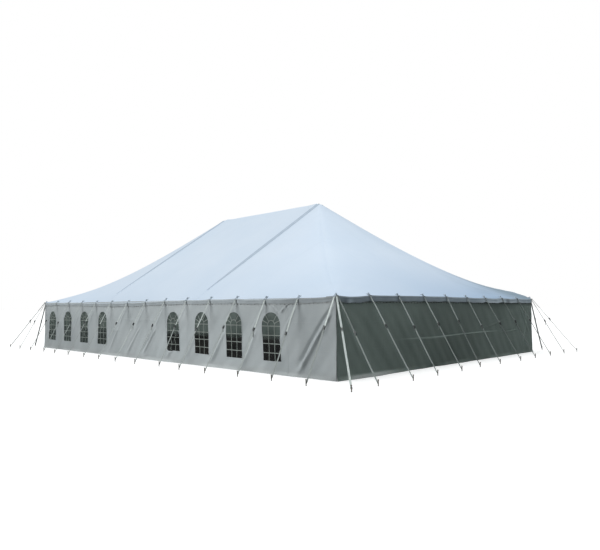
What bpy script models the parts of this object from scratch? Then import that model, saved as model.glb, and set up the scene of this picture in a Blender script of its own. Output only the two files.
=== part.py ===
"""A marquee: a three-section pole tent on two centre poles, with grey side walls and arched windows."""

import math

import bmesh
import bpy
from mathutils import Matrix, Vector

# Plan and heights, in metres. X runs along the marquee, and the windowed front faces -Y.
LENGTH = 18.288
WIDTH = 12.192
PEAK_INSET = 6.096
PEAK_HEIGHT = 6.04
EAVE_HEIGHT = 2.12
HIP_SAG = 0.50
HIP_SAG_SKEW = 1.25
HIP_SAG_SPREAD = 1.6
PEAK_X = LENGTH / 2 - PEAK_INSET

# Clearance left between pieces that touch
GAP = 0.0003

# Canopy cloth, and the reinforced band round its edge
CLOTH_THICKNESS = 0.012
BAND_WIDTH = 0.10
PEAK_HOLE = 0.10
ROWS_DOWN_SLOPE = 10
COLUMNS_MIDDLE = 2
COLUMNS_SIDE = 6
COLUMNS_END = 5

# Lapped seams between the three sections
FLAP_WIDTH = 0.15
FLAP_THICKNESS = 0.006
FLAP_TOP_CLEARANCE = 0.01
FLAP_FOOT_CLEARANCE = 0.005

# Centre poles
CENTER_POLE_RADIUS = 0.051
CENTER_SLEEVE_RADIUS = 0.058
CENTER_SLEEVE_LOW = 2.75
CENTER_SLEEVE_HIGH = 3.15
CENTER_PIN_RADIUS = 0.015
CENTER_PIN_TOP = 6.11
CENTER_POLE_SIDES = 16
FOOT_PLATE = 0.32
FOOT_PLATE_THICKNESS = 0.012
FOOT_OVERLAP = 0.002
PEAK_PLATE_LOW = 5.95
PEAK_PLATE_HIGH = 6.05
PEAK_PLATE_SIDES = 8

# Side poles: fourteen bays on the long sides, nine on the ends
LONG_BAYS = 14
END_BAYS = 9
POLE_INSET = 0.05
POLE_RADIUS = 0.0206
POLE_PIN_RADIUS = 0.009
POLE_PIN_HEIGHT = 0.05
POLE_SIDES = 6

# Side walls
WALL_INSET = 0.012
WALL_THICKNESS = 0.010

# Windows: groups of four, each group on one wall panel
WINDOW_WIDTH = 0.74
WINDOW_SILL = 0.40
WINDOW_SPRING = 1.35
WINDOW_SPACING = 1.64
WINDOWS_IN_GROUP = 4
ARCH_SEGMENTS = 12
WINDOW_PANEL_WIDTH = 6.096
FIRST_GROUP_CENTER = 4.87
SECOND_GROUP_CENTER = 14.90
PANE_THICKNESS = 0.004
PANE_MARGIN = 0.06
CUTTER_REACH = 0.05

# Valance that hangs from the eave, and the webbing that carries the guy lines
VALANCE_DROP = 0.13
VALANCE_THICKNESS = 0.008
WEBBING_HEIGHT = 0.04
WEBBING_THICKNESS = 0.010
CORNER_TAB = 0.017

# Guy lines: a strap with a ratchet, down to a stake
LONG_SIDE_REACH = 1.06
END_SIDE_REACH = 1.18
CORNER_REACH = 1.67
CORNER_TURN = math.radians(51)
STRAP_WIDTH = 0.05
STRAP_THICKNESS = 0.008
RATCHET_START = 0.36
RATCHET_LENGTH = 0.20
RATCHET_DEPTH = 0.05
STRAP_FOOT_HEIGHT = 0.08
STAKE_RADIUS = 0.0127
STAKE_HEIGHT = 0.16
STAKE_SIDES = 6


def clear_scene():
    for old in list(bpy.data.objects):
        bpy.data.objects.remove(old, do_unlink=True)


def make_material(name, color, roughness, metallic=0.0, alpha=1.0):
    material = bpy.data.materials.new(name)
    material.use_nodes = True
    shader = material.node_tree.nodes["Principled BSDF"]
    shader.inputs["Base Color"].default_value = (*color, 1.0)
    shader.inputs["Roughness"].default_value = roughness
    shader.inputs["Metallic"].default_value = metallic
    shader.inputs["Alpha"].default_value = alpha
    material.diffuse_color = (*color, 1.0)
    return material


def canopy_height(x, y):
    """Height of the canopy's top over a point of the plan. The hips sag between peak and corner."""
    past_peak = max(abs(x) - PEAK_X, 0.0)
    across = abs(y)
    far = max(past_peak, across)
    down = far / PEAK_INSET
    toward_hip = min(past_peak, across) / far if far > 0 else 0.0
    sag = HIP_SAG * toward_hip**HIP_SAG_SPREAD * math.sin(math.pi * min(down, 1.0) ** HIP_SAG_SKEW)
    return PEAK_HEIGHT - (PEAK_HEIGHT - EAVE_HEIGHT) * down - sag


def object_from(name, mesh_data, material, helper=False):
    mesh = bpy.data.meshes.new(name)
    mesh_data.to_mesh(mesh)
    mesh_data.free()
    piece = bpy.data.objects.new(name, mesh)
    bpy.context.scene.collection.objects.link(piece)
    if helper:
        piece.hide_render = True
        piece.display_type = "WIRE"
    else:
        mesh.materials.append(material)
    return piece


def add_prism(mesh_data, outline, low, high):
    """Adds a closed prism: the outline runs anticlockwise seen from +Z, between two heights."""
    bottom = [mesh_data.verts.new((x, y, low)) for x, y in outline]
    top = [mesh_data.verts.new((x, y, high)) for x, y in outline]
    count = len(outline)
    mesh_data.faces.new(bottom[::-1])
    mesh_data.faces.new(top)
    for i in range(count):
        j = (i + 1) % count
        mesh_data.faces.new((bottom[i], bottom[j], top[j], top[i]))
    return bottom + top


def add_box(mesh_data, low, high):
    outline = [(low[0], low[1]), (high[0], low[1]), (high[0], high[1]), (low[0], high[1])]
    return add_prism(mesh_data, outline, low[2], high[2])


def add_turned(mesh_data, profile, sides, at):
    """Adds a closed turned solid. The profile is (radius, height) from bottom to top, with flat ends."""
    rings = []
    for radius, height in profile:
        ring = []
        for i in range(sides):
            angle = 2 * math.pi * (i + 0.5) / sides
            ring.append(
                mesh_data.verts.new(
                    (at[0] + radius * math.cos(angle), at[1] + radius * math.sin(angle), height)
                )
            )
        rings.append(ring)
    mesh_data.faces.new(rings[0][::-1])
    mesh_data.faces.new(rings[-1])
    for lower, upper in zip(rings, rings[1:]):
        for i in range(sides):
            j = (i + 1) % sides
            mesh_data.faces.new((lower[i], lower[j], upper[j], upper[i]))


def union(piece, other):
    modifier = piece.modifiers.new("join", "BOOLEAN")
    modifier.operation = "UNION"
    modifier.solver = "EXACT"
    modifier.object = other


def smooth(piece, angle=35):
    piece.data.shade_smooth()
    piece.data.set_sharp_from_angle(angle=math.radians(angle))


class Side:
    """One side of the marquee. Its own x runs along the eave and its own -y points outwards."""

    def __init__(self, name, half, offset, bays, quarter_turns, owns_corners, reach):
        self.name = name
        self.half = half
        self.offset = offset
        self.bays = bays
        self.angle = quarter_turns * math.pi / 2
        self.owns_corners = owns_corners
        self.reach = reach

    def pole_places(self, corners):
        span = self.half - POLE_INSET
        places = [-span + 2 * span * i / self.bays for i in range(self.bays + 1)]
        return places if corners else places[1:-1]

    def roof_height(self, x, y):
        turned = Matrix.Rotation(self.angle, 2) @ Vector((x, y))
        return canopy_height(turned.x, turned.y)

    def place(self, piece):
        piece.rotation_euler.z = self.angle


def sides_of_marquee():
    half_long = LENGTH / 2
    half_wide = WIDTH / 2
    return [
        Side("front", half_long, half_wide, LONG_BAYS, 0, True, LONG_SIDE_REACH),
        Side("right", half_wide, half_long, END_BAYS, 1, False, END_SIDE_REACH),
        Side("back", half_long, half_wide, LONG_BAYS, 2, True, LONG_SIDE_REACH),
        Side("left", half_wide, half_long, END_BAYS, 3, False, END_SIDE_REACH),
    ]


def inset_grid(grid, distance):
    """Moves the rim of a grid of plan points inwards. The rim runs anticlockwise seen from +Z."""
    rows = len(grid)
    columns = len(grid[0])
    rim = [(0, c) for c in range(columns)]
    rim += [(r, columns - 1) for r in range(1, rows)]
    rim += [(rows - 1, c) for c in range(columns - 2, -1, -1)]
    rim += [(r, 0) for r in range(rows - 2, 0, -1)]
    points = [Vector(grid[r][c]) for r, c in rim]
    moved = []
    for i, point in enumerate(points):
        before = (point - points[i - 1]).normalized()
        after = (points[(i + 1) % len(points)] - point).normalized()
        inward_before = Vector((-before.y, before.x))
        inward_after = Vector((-after.y, after.x))
        corner = inward_before + inward_after
        moved.append(point + corner * (2 * distance / corner.length_squared))
    result = [list(row) for row in grid]
    for (r, c), point in zip(rim, moved):
        result[r][c] = (point.x, point.y)
    return result


def cloth_solid(name, grid, material, thickness=CLOTH_THICKNESS, lift=0.0):
    """A closed sheet over a grid of plan points, following the canopy's shape."""
    data = bmesh.new()
    top = []
    bottom = []
    for row in grid:
        top.append([data.verts.new((x, y, canopy_height(x, y) + lift)) for x, y in row])
        bottom.append(
            [data.verts.new((x, y, canopy_height(x, y) + lift - thickness)) for x, y in row]
        )
    rows = len(grid)
    columns = len(grid[0])
    for r in range(rows - 1):
        for c in range(columns - 1):
            data.faces.new((top[r][c], top[r][c + 1], top[r + 1][c + 1], top[r + 1][c]))
            data.faces.new((bottom[r][c], bottom[r + 1][c], bottom[r + 1][c + 1], bottom[r][c + 1]))
    for c in range(columns - 1):
        data.faces.new((top[0][c + 1], top[0][c], bottom[0][c], bottom[0][c + 1]))
        data.faces.new((top[-1][c], top[-1][c + 1], bottom[-1][c + 1], bottom[-1][c]))
    for r in range(rows - 1):
        data.faces.new((top[r][0], top[r + 1][0], bottom[r + 1][0], bottom[r][0]))
        data.faces.new((top[r + 1][-1], top[r][-1], bottom[r][-1], bottom[r + 1][-1]))
    piece = object_from(name, data, material)
    smooth(piece)
    return piece


def canopy_middle(name, toward, material):
    """One slope of the middle section. toward is -1 for the front and +1 for the back."""
    eave = WIDTH / 2 - BAND_WIDTH
    rows = []
    for r in range(ROWS_DOWN_SLOPE + 1):
        rows.append((eave - (eave - PEAK_HOLE) * r / ROWS_DOWN_SLOPE, PEAK_X))
    hole_corner = PEAK_HOLE * math.sqrt(0.5)
    rows.append((hole_corner, PEAK_X - hole_corner))
    rows.append((0.0, PEAK_X - PEAK_HOLE))
    grid = []
    for depth, half in rows:
        row = []
        for c in range(COLUMNS_MIDDLE + 1):
            x = half * (2 * c / COLUMNS_MIDDLE - 1)
            row.append((-x * toward, depth * toward))
        grid.append(row)
    return cloth_solid(name, inset_grid(grid, GAP / 2), material)


def fan_grid(inner, outer, columns):
    """Rows of plan points from the outer line to the inner line, each given by its corner points."""

    def along(line, share):
        place = share * (len(line) - 1)
        i = min(int(place), len(line) - 2)
        return Vector(line[i]).lerp(Vector(line[i + 1]), place - i)

    grid = []
    for r in range(ROWS_DOWN_SLOPE + 1):
        row = []
        for c in range(columns + 1):
            start = along(outer, c / columns)
            end = along(inner, c / columns)
            point = start.lerp(end, r / ROWS_DOWN_SLOPE)
            row.append((point.x, point.y))
        grid.append(row)
    return grid


def canopy_corner_points():
    """Plan points of one end section, seen with the end at +X: peak hole and eave, front to back."""
    eave_x = LENGTH / 2 - BAND_WIDTH
    eave_y = WIDTH / 2 - BAND_WIDTH
    hip = PEAK_HOLE * math.sqrt(0.5)
    inner = [
        (PEAK_X, -PEAK_HOLE),
        (PEAK_X + hip, -hip),
        (PEAK_X + PEAK_HOLE, 0.0),
        (PEAK_X + hip, hip),
        (PEAK_X, PEAK_HOLE),
    ]
    outer = [
        (PEAK_X, -eave_y),
        (eave_x, -eave_y),
        (eave_x, 0.0),
        (eave_x, eave_y),
        (PEAK_X, eave_y),
    ]
    return inner, outer


def turned_half(grid, half_turn):
    sign = -1 if half_turn else 1
    return [[(sign * x, sign * y) for x, y in row] for row in grid]


def build_canopy(cloth):
    canopy_middle("canopy_front_middle", -1, cloth)
    canopy_middle("canopy_back_middle", 1, cloth)
    inner, outer = canopy_corner_points()
    columns = (COLUMNS_SIDE, COLUMNS_END, COLUMNS_END, COLUMNS_SIDE)
    grids = [fan_grid(inner[i : i + 2], outer[i : i + 2], count) for i, count in enumerate(columns)]
    right = ("front_right", "end_right_front", "end_right_back", "back_right")
    left = ("back_left", "end_left_back", "end_left_front", "front_left")
    for half_turn, names in ((False, right), (True, left)):
        for name, grid in zip(names, grids):
            cloth_solid(f"canopy_{name}", turned_half(inset_grid(grid, GAP / 2), half_turn), cloth)


def build_seam_flaps(cloth):
    """The lapped joints between the middle section and the two ends, on each slope."""
    near = PEAK_HOLE + FLAP_TOP_CLEARANCE
    far = WIDTH / 2 - FLAP_FOOT_CLEARANCE
    for side_name, x in (("right", PEAK_X), ("left", -PEAK_X)):
        for slope_name, toward in (("front", -1), ("back", 1)):
            data = bmesh.new()
            slab = add_box(
                data, (x - FLAP_WIDTH / 2, near, 0.0), (x + FLAP_WIDTH / 2, far, FLAP_THICKNESS)
            )
            for vertex in slab:
                vertex.co.z += canopy_height(PEAK_X, vertex.co.y) + GAP
                vertex.co.y *= toward
            bmesh.ops.recalc_face_normals(data, faces=data.faces)
            object_from(f"seam_flap_{slope_name}_{side_name}", data, cloth)


def build_center_poles(metal):
    shaft_top = PEAK_PLATE_LOW - GAP
    profile = [
        (CENTER_POLE_RADIUS, FOOT_PLATE_THICKNESS - FOOT_OVERLAP),
        (CENTER_POLE_RADIUS, CENTER_SLEEVE_LOW),
        (CENTER_SLEEVE_RADIUS, CENTER_SLEEVE_LOW),
        (CENTER_SLEEVE_RADIUS, CENTER_SLEEVE_HIGH),
        (CENTER_POLE_RADIUS, CENTER_SLEEVE_HIGH),
        (CENTER_POLE_RADIUS, shaft_top),
        (CENTER_PIN_RADIUS, shaft_top),
        (CENTER_PIN_RADIUS, CENTER_PIN_TOP),
    ]
    for name, x in (("right", PEAK_X), ("left", -PEAK_X)):
        data = bmesh.new()
        add_turned(data, profile, CENTER_POLE_SIDES, (x, 0.0))
        pole = object_from(f"center_pole_{name}", data, metal)
        smooth(pole)
        data = bmesh.new()
        half = FOOT_PLATE / 2
        add_box(data, (x - half, -half, 0.0), (x + half, half, FOOT_PLATE_THICKNESS))
        union(pole, object_from(f"foot_of_{name}_pole", data, metal, helper=True))
        build_peak_plate(name, x, metal)


def build_peak_plate(name, x, metal):
    """A flat-sided plate that fills the hole at the peak, with the pole's pin through it."""
    data = bmesh.new()
    outer = PEAK_HOLE - GAP
    inner = (CENTER_PIN_RADIUS + GAP) / math.cos(math.pi / PEAK_PLATE_SIDES)
    rings = []
    for radius, height in (
        (outer, PEAK_PLATE_LOW),
        (outer, PEAK_PLATE_HIGH),
        (inner, PEAK_PLATE_HIGH),
        (inner, PEAK_PLATE_LOW),
    ):
        ring = []
        for i in range(PEAK_PLATE_SIDES):
            angle = 2 * math.pi * i / PEAK_PLATE_SIDES
            point = (x + radius * math.cos(angle), radius * math.sin(angle), height)
            ring.append(data.verts.new(point))
        rings.append(ring)
    for k, lower in enumerate(rings):
        upper = rings[(k + 1) % len(rings)]
        for i in range(PEAK_PLATE_SIDES):
            j = (i + 1) % PEAK_PLATE_SIDES
            data.faces.new((lower[i], lower[j], upper[j], upper[i]))
    object_from(f"peak_plate_{name}", data, metal)


def build_side_poles(side, metal):
    """The eave band of one side, with the side poles under it and their pins through it."""
    inner = -(side.offset - BAND_WIDTH)
    outer = -side.offset
    half = side.half if side.owns_corners else side.half - BAND_WIDTH - GAP
    corner = side.half - BAND_WIDTH
    stations = {-half, half}
    stations |= {x for x in side.pole_places(True) if abs(x) < half}
    if side.owns_corners:
        stations |= {-corner, corner}
    stations = sorted(stations)
    data = bmesh.new()
    rings = []
    for x in stations:
        high_inner = side.roof_height(x, inner)
        high_outer = side.roof_height(x, outer)
        rings.append(
            [
                data.verts.new((x, outer, high_outer)),
                data.verts.new((x, inner, high_inner)),
                data.verts.new((x, inner, high_inner - CLOTH_THICKNESS)),
                data.verts.new((x, outer, high_outer - CLOTH_THICKNESS)),
            ]
        )
    data.faces.new(rings[0])
    data.faces.new(rings[-1][::-1])
    for first, second in zip(rings, rings[1:]):
        for i in range(4):
            j = (i + 1) % 4
            data.faces.new((first[j], first[i], second[i], second[j]))
    bmesh.ops.recalc_face_normals(data, faces=data.faces)
    band = object_from(f"side_poles_{side.name}", data, metal)
    data = bmesh.new()
    pole_y = -(side.offset - POLE_INSET)
    for x in side.pole_places(side.owns_corners):
        top = side.roof_height(x, pole_y)
        shoulder = top - CLOTH_THICKNESS / 2
        profile = [
            (POLE_RADIUS, 0.0),
            (POLE_RADIUS, shoulder),
            (POLE_PIN_RADIUS, shoulder),
            (POLE_PIN_RADIUS, top + POLE_PIN_HEIGHT),
        ]
        add_turned(data, profile, POLE_SIDES, (x, pole_y))
    poles = object_from(f"poles_of_{side.name}", data, metal, helper=True)
    union(band, poles)
    side.place(band)
    side.place(poles)


def window_centers(group_center):
    first = group_center - WINDOW_SPACING * (WINDOWS_IN_GROUP - 1) / 2
    return [first + WINDOW_SPACING * i for i in range(WINDOWS_IN_GROUP)]


def window_outline(center):
    """Arched outline, anticlockwise seen from outside with the wall's x to the right."""
    half = WINDOW_WIDTH / 2
    outline = [(center - half, WINDOW_SILL), (center + half, WINDOW_SILL)]
    for i in range(ARCH_SEGMENTS + 1):
        angle = math.pi * i / ARCH_SEGMENTS
        outline.append((center + half * math.cos(angle), WINDOW_SPRING + half * math.sin(angle)))
    return outline


def wall_panel(side, name, low, high, material, windows=()):
    """A flat wall panel hung under the eave from low to high, with its windows cut through."""
    outer = -(side.offset - WALL_INSET)
    inner = outer + WALL_THICKNESS
    data = bmesh.new()
    add_box(data, (low, outer, 0.0), (high, inner, EAVE_HEIGHT - CLOTH_THICKNESS - GAP))
    panel = object_from(name, data, material)
    side.place(panel)
    if not windows:
        return
    data = bmesh.new()
    for center in windows:
        outline = [(x, -z) for x, z in window_outline(center)][::-1]
        prism = add_prism(data, outline, outer - CUTTER_REACH, inner + CUTTER_REACH)
        for vertex in prism:
            x, y, z = vertex.co
            vertex.co = (x, z, -y)
    bmesh.ops.recalc_face_normals(data, faces=data.faces)
    cutter = object_from(f"cutter_of_{name}", data, None, helper=True)
    side.place(cutter)
    modifier = panel.modifiers.new("windows", "BOOLEAN")
    modifier.operation = "DIFFERENCE"
    modifier.solver = "EXACT"
    modifier.object = cutter


def build_long_wall(side, cloth, clear):
    """Corner panel, windows, middle panel, windows: distances run from the side's right-hand corner."""
    reach = side.half - WALL_INSET
    half_panel = WINDOW_PANEL_WIDTH / 2
    groups = [side.half - FIRST_GROUP_CENTER, side.half - SECOND_GROUP_CENTER]
    gap = GAP / 2
    edges = [reach, groups[0] + half_panel, groups[0] - half_panel, groups[1] + half_panel, -reach]
    names = ("corner", "windows_1", "middle", "windows_2")
    for i, name in enumerate(names):
        windows = window_centers(groups[i // 2]) if i % 2 else ()
        low = edges[i + 1] + (gap if i < 3 else 0.0)
        high = edges[i] - (gap if i else 0.0)
        wall_panel(side, f"wall_{side.name}_{name}", low, high, cloth, windows)
    for number, group in enumerate(groups, 1):
        centers = window_centers(group)
        outer = -(side.offset - WALL_INSET - WALL_THICKNESS - GAP)
        margin = WINDOW_WIDTH / 2 + PANE_MARGIN
        top = WINDOW_SPRING + WINDOW_WIDTH / 2 + PANE_MARGIN
        data = bmesh.new()
        add_box(
            data,
            (centers[0] - margin, outer, WINDOW_SILL - PANE_MARGIN),
            (centers[-1] + margin, outer + PANE_THICKNESS, top),
        )
        side.place(object_from(f"window_panes_{side.name}_{number}", data, clear))


def build_end_wall(side, cloth):
    reach = side.half - WALL_INSET - WALL_THICKNESS - GAP
    wall_panel(side, f"wall_{side.name}", -reach, reach, cloth)


def build_valance(side, cloth):
    inner = side.offset + GAP
    outer = inner + VALANCE_THICKNESS
    half = side.half + (GAP + VALANCE_THICKNESS if side.owns_corners else 0.0)
    data = bmesh.new()
    add_box(data, (-half, -outer, EAVE_HEIGHT - VALANCE_DROP), (half, -inner, EAVE_HEIGHT))
    side.place(object_from(f"valance_{side.name}", data, cloth))


def strap_outline(reach):
    """The strap seen from its side: (distance out, height), with the ratchet as a thicker stretch."""
    top = Vector((0.0, EAVE_HEIGHT - WEBBING_HEIGHT / 2))
    foot = Vector((reach, STRAP_FOOT_HEIGHT))
    down = (foot - top).normalized()
    out = Vector((-down.y, down.x))
    start = top.lerp(foot, RATCHET_START)
    end = start + down * RATCHET_LENGTH
    thin = out * STRAP_THICKNESS / 2
    thick = out * RATCHET_DEPTH / 2
    upper = [top + thin, start + thin, start + thick, end + thick, end + thin, foot + thin]
    lower = [top - thin, start - thin, start - thick, end - thick, end - thin, foot - thin]
    return upper + lower[::-1]


def add_strap(data, at, reach, turn):
    """Adds a strap from a point at the eave, going out along -Y and turned about the upright there."""
    prism = add_prism(data, [(y, z) for y, z in strap_outline(reach)], -STRAP_WIDTH / 2, STRAP_WIDTH / 2)
    turning = Matrix.Rotation(turn, 3, "Z")
    for vertex in prism:
        out, height, across = vertex.co
        placed = turning @ Vector((across, -out, height))
        vertex.co = (placed.x + at[0], placed.y + at[1], placed.z)


def build_guy_lines(side, webbing):
    """The webbing round the eave of one side, with a strap and a stake for each pole."""
    inner = side.offset + GAP * 2 + VALANCE_THICKNESS
    outer = inner + WEBBING_THICKNESS
    middle = (inner + outer) / 2
    corner = side.half + GAP * 2 + VALANCE_THICKNESS + WEBBING_THICKNESS
    half = corner + CORNER_TAB if side.owns_corners else side.half + VALANCE_THICKNESS
    data = bmesh.new()
    add_box(data, (-half, -outer, EAVE_HEIGHT - WEBBING_HEIGHT), (half, -inner, EAVE_HEIGHT))
    band = object_from(f"guy_lines_{side.name}", data, webbing)
    lines = [((x, -middle), side.reach, 0.0) for x in side.pole_places(True)]
    if side.owns_corners:
        tab = corner + CORNER_TAB / 2
        lines.append(((tab, -middle), CORNER_REACH, CORNER_TURN))
        lines.append(((-tab, -middle), CORNER_REACH, -CORNER_TURN))
    straps = bmesh.new()
    stakes = bmesh.new()
    for at, reach, turn in lines:
        add_strap(straps, at, reach, turn)
        foot = Vector(at) + Matrix.Rotation(turn, 2) @ Vector((0.0, -reach))
        add_turned(stakes, [(STAKE_RADIUS, 0.0), (STAKE_RADIUS, STAKE_HEIGHT)], STAKE_SIDES, foot)
    bmesh.ops.recalc_face_normals(straps, faces=straps.faces)
    for part_name, part in (("straps", straps), ("stakes", stakes)):
        helper = object_from(f"{part_name}_of_{side.name}", part, None, helper=True)
        side.place(helper)
        union(band, helper)
    side.place(band)


def main():
    clear_scene()
    roof_cloth = make_material("white canopy cloth", (0.80, 0.86, 0.92), 0.45)
    wall_cloth = make_material("grey wall cloth", (0.36, 0.40, 0.40), 0.55)
    clear = make_material("clear window sheet", (0.06, 0.08, 0.08), 0.15, alpha=0.6)
    pole_metal = make_material("galvanised pole", (0.55, 0.57, 0.58), 0.35, metallic=0.9)
    webbing = make_material("light strap webbing", (0.62, 0.66, 0.65), 0.7)
    build_canopy(roof_cloth)
    build_seam_flaps(roof_cloth)
    build_center_poles(pole_metal)
    for side in sides_of_marquee():
        build_side_poles(side, pole_metal)
        if side.owns_corners:
            build_long_wall(side, wall_cloth, clear)
        else:
            build_end_wall(side, wall_cloth)
        build_valance(side, roof_cloth)
        build_guy_lines(side, webbing)


main()
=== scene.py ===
"""Looks of the marquee: white cloth roof, grey walls with arched windows, guy lines, light and camera."""
import math
import random

import bpy
import numpy as np
from mathutils import Matrix, Vector
from mathutils.geometry import delaunay_2d_cdt


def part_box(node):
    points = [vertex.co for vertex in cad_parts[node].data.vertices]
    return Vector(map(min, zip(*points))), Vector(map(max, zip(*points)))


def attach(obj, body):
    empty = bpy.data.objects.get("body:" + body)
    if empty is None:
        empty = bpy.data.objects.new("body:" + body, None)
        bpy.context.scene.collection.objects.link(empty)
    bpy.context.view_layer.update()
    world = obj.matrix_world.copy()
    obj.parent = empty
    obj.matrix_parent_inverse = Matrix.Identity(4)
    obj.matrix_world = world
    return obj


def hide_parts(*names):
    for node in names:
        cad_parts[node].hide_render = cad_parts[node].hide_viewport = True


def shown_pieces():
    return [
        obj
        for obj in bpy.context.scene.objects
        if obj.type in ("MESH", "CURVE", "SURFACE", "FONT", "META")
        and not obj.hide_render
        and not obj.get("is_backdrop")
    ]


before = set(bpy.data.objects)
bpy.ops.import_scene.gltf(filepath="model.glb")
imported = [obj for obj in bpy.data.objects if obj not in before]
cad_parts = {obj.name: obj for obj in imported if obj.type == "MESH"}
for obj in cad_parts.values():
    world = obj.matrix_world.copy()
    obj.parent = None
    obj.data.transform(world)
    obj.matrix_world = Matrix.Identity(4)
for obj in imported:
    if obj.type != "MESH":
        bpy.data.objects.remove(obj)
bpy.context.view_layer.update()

# Plan and heights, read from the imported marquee, in metres
HALF_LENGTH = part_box("side_poles_front")[1].x
HALF_WIDTH = -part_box("side_poles_front")[0].y
PEAK_X = HALF_LENGTH - HALF_WIDTH
PEAK_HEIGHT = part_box("canopy_front_middle")[1].z + 0.055
EAVE_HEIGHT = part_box("valance_front")[1].z
VALANCE_DROP = EAVE_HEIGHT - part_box("valance_front")[0].z
WALL_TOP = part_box("wall_front_corner")[1].z
WALL_LINE = HALF_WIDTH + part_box("wall_front_corner")[0].y
CAP_TOP = PEAK_HEIGHT - 0.030

# Roof shape
RIGHT_HIP_SAG = 0.44
LEFT_HIP_SAG = 0.52
HIP_SAG_SKEW = 1.2
HIP_SAG_SPREAD = 1.6
HIP_ROUNDING = 0.30
RIDGE_ROUNDING = 0.05
PEAK_HOLE = 0.10
LONG_EAVE_CUSP = 0.012
END_EAVE_CUSP = 0.018
SLACK_HEIGHT = 0.11

# How far above its plain height the eave hangs at each pole of the front and of the right end
FRONT_EAVE = (
    0.0, 0.0, -0.005, -0.030, -0.055, -0.068, -0.070, -0.045, -0.018, -0.014, -0.008, -0.008, -0.034,
    -0.026, -0.002,
)
RIGHT_EAVE = (0.012, 0.034, 0.034, 0.034, 0.034, 0.022, 0.016, 0.018, 0.012, 0.006)

# How far the eave dips in each bay of a long side and of an end
LONG_DIPS = (0.004, 0.009, 0.003, 0.012, 0.006, 0.002, 0.010, 0.007, 0.003, 0.011, 0.005, 0.008, 0.004, 0.006)
END_DIPS = (0.020, -0.010, -0.014, -0.008, 0.0, 0.006, 0.014, 0.010, 0.006)
EAVE_FADE = 0.28
SLOPE_STRETCH = math.hypot(HALF_WIDTH, PEAK_HEIGHT - EAVE_HEIGHT) / HALF_WIDTH

# Poles
LONG_BAYS = 14
END_BAYS = 9
POLE_INSET = 0.05
MAST_RADIUS = 0.051
SLEEVE_RADIUS = 0.058
SIDE_POLE_RADIUS = 0.0206

# Windows
WINDOW_WIDTH = 0.74
WINDOW_SILL = 0.40
WINDOW_SPRING = 1.35
WINDOW_SPACING = 1.64
WINDOWS_IN_GROUP = 4
BAR_WIDTH = 0.022
BAR_HEIGHTS = (0.62, 0.86, 1.08, 1.33)
FAN_RADIUS = 0.14

# Guy lines
LONG_SIDE_REACH = 1.06
END_SIDE_REACH = 1.18
CORNER_REACH = 1.67
CORNER_TURN = math.radians(51)
STRAP_FOOT = 0.08
STRAP_DROP = 0.022
STRAP_WIDTH = 0.048
WEBBING = 0.003
STAKE_RADIUS = 0.0127
LOOP_RADIUS = STAKE_RADIUS + 0.004
STAKE_HEIGHT = 0.16
CLEAR_OF_VALANCE = 0.0136
RATCHET_SIZE = 0.66

# For each pole: how much further out its stake was driven, the share of the strap at its ratchet,
# and how bright the strap is painted above and below it: painted light and shade on the strap
FRONT_LINES = (
    (0.03, 0.41, 0.60, 0.50), (0.04, 0.39, 0.56, 0.47), (-0.04, 0.42, 0.58, 0.52), (0.03, 0.40, 0.58, 0.48),
    (0.03, 0.38, 0.72, 0.50), (-0.01, 0.42, 0.74, 0.50), (0.03, 0.37, 0.76, 0.55), (0.06, 0.38, 0.68, 0.64),
    (0.04, 0.40, 0.62, 0.50), (-0.08, 0.41, 0.68, 0.50), (0.04, 0.43, 0.66, 0.54), (0.05, 0.39, 0.60, 0.50),
    (-0.08, 0.40, 0.76, 0.53), (-0.12, 0.44, 0.72, 0.45), (-0.03, 0.36, 0.86, 0.42), (0.0, 0.37, 1.0, 1.0),
    (0.0, 0.40, 0.8, 0.6),
)
RIGHT_LINES = (
    (0.02, 0.43, 0.62, 0.84), (0.11, 0.37, 1.0, 0.82), (0.01, 0.40, 0.88, 0.84), (0.0, 0.38, 0.95, 0.72),
    (-0.11, 0.36, 0.88, 0.50), (-0.09, 0.45, 0.78, 0.68), (0.01, 0.42, 0.52, 0.40), (-0.03, 0.40, 0.42, 0.36),
    (0.0, 0.38, 0.40, 0.36), (0.02, 0.41, 0.40, 0.36),
)

# Cloth
CANOPY_CLOTH = 0.004
WALL_CLOTH = 0.003
STRIP_WIDTH = 1.524
FLAP_WIDTH = 0.15
LACING_WIDTH = 0.215
PATCH_RADIUS = 0.46
SMALL_CLOTH = 0.002
THIN_SHEET = 0.001
PANEL_LAP = 0.05
WINDOW_PANEL_OUT = 0.004
WALL_SPACING = 0.036
CORNER_SPACING = 0.022
HEM_HEIGHT = 0.085
ROPE_RADIUS = 0.005
ROPE_DROP = 0.022
CLIP_SPACING = 0.155

# Painted light and shade of the wall cloth, as its brightness along a side: place along the wall, then its
# upper and its lower part
WALL_PAINTED_LIGHT = {
    "front": (
        (-7.9, 0.87, 0.76), (-4.4, 0.88, 0.83), (-2.7, 0.94, 0.89), (-1.5, 0.92, 0.91), (-0.4, 0.90, 0.98),
        (0.65, 0.93, 0.98), (2.7, 0.96, 0.96), (4.2, 0.89, 1.0), (5.8, 0.83, 0.93), (7.5, 0.76, 0.80),
        (8.92, 0.74, 0.75),
    ),
    "right": (
        (-5.9, 0.92, 0.92), (-4.4, 0.95, 0.87), (-3.6, 0.90, 0.84), (-2.8, 0.90, 0.77), (-2.0, 0.78, 0.76),
        (-1.0, 0.74, 0.64), (0.0, 0.72, 0.65), (1.0, 0.77, 0.72), (2.2, 0.79, 0.86), (3.5, 0.86, 0.84),
        (5.0, 1.02, 0.94),
    ),
    "back": ((-9.0, 0.92, 0.88), (-3.0, 0.86, 0.92), (3.0, 0.93, 0.96), (9.0, 0.84, 0.88)),
    "left": ((-6.0, 0.90, 0.84), (0.0, 0.84, 0.80), (6.0, 0.92, 0.90)),
}
# Painted tints: the end walls get a greener shade colour than the long walls
LONG_TINT = (0.97, 0.985, 1.01)
END_SHADE_TINT = (0.82, 0.93, 0.86)
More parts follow.
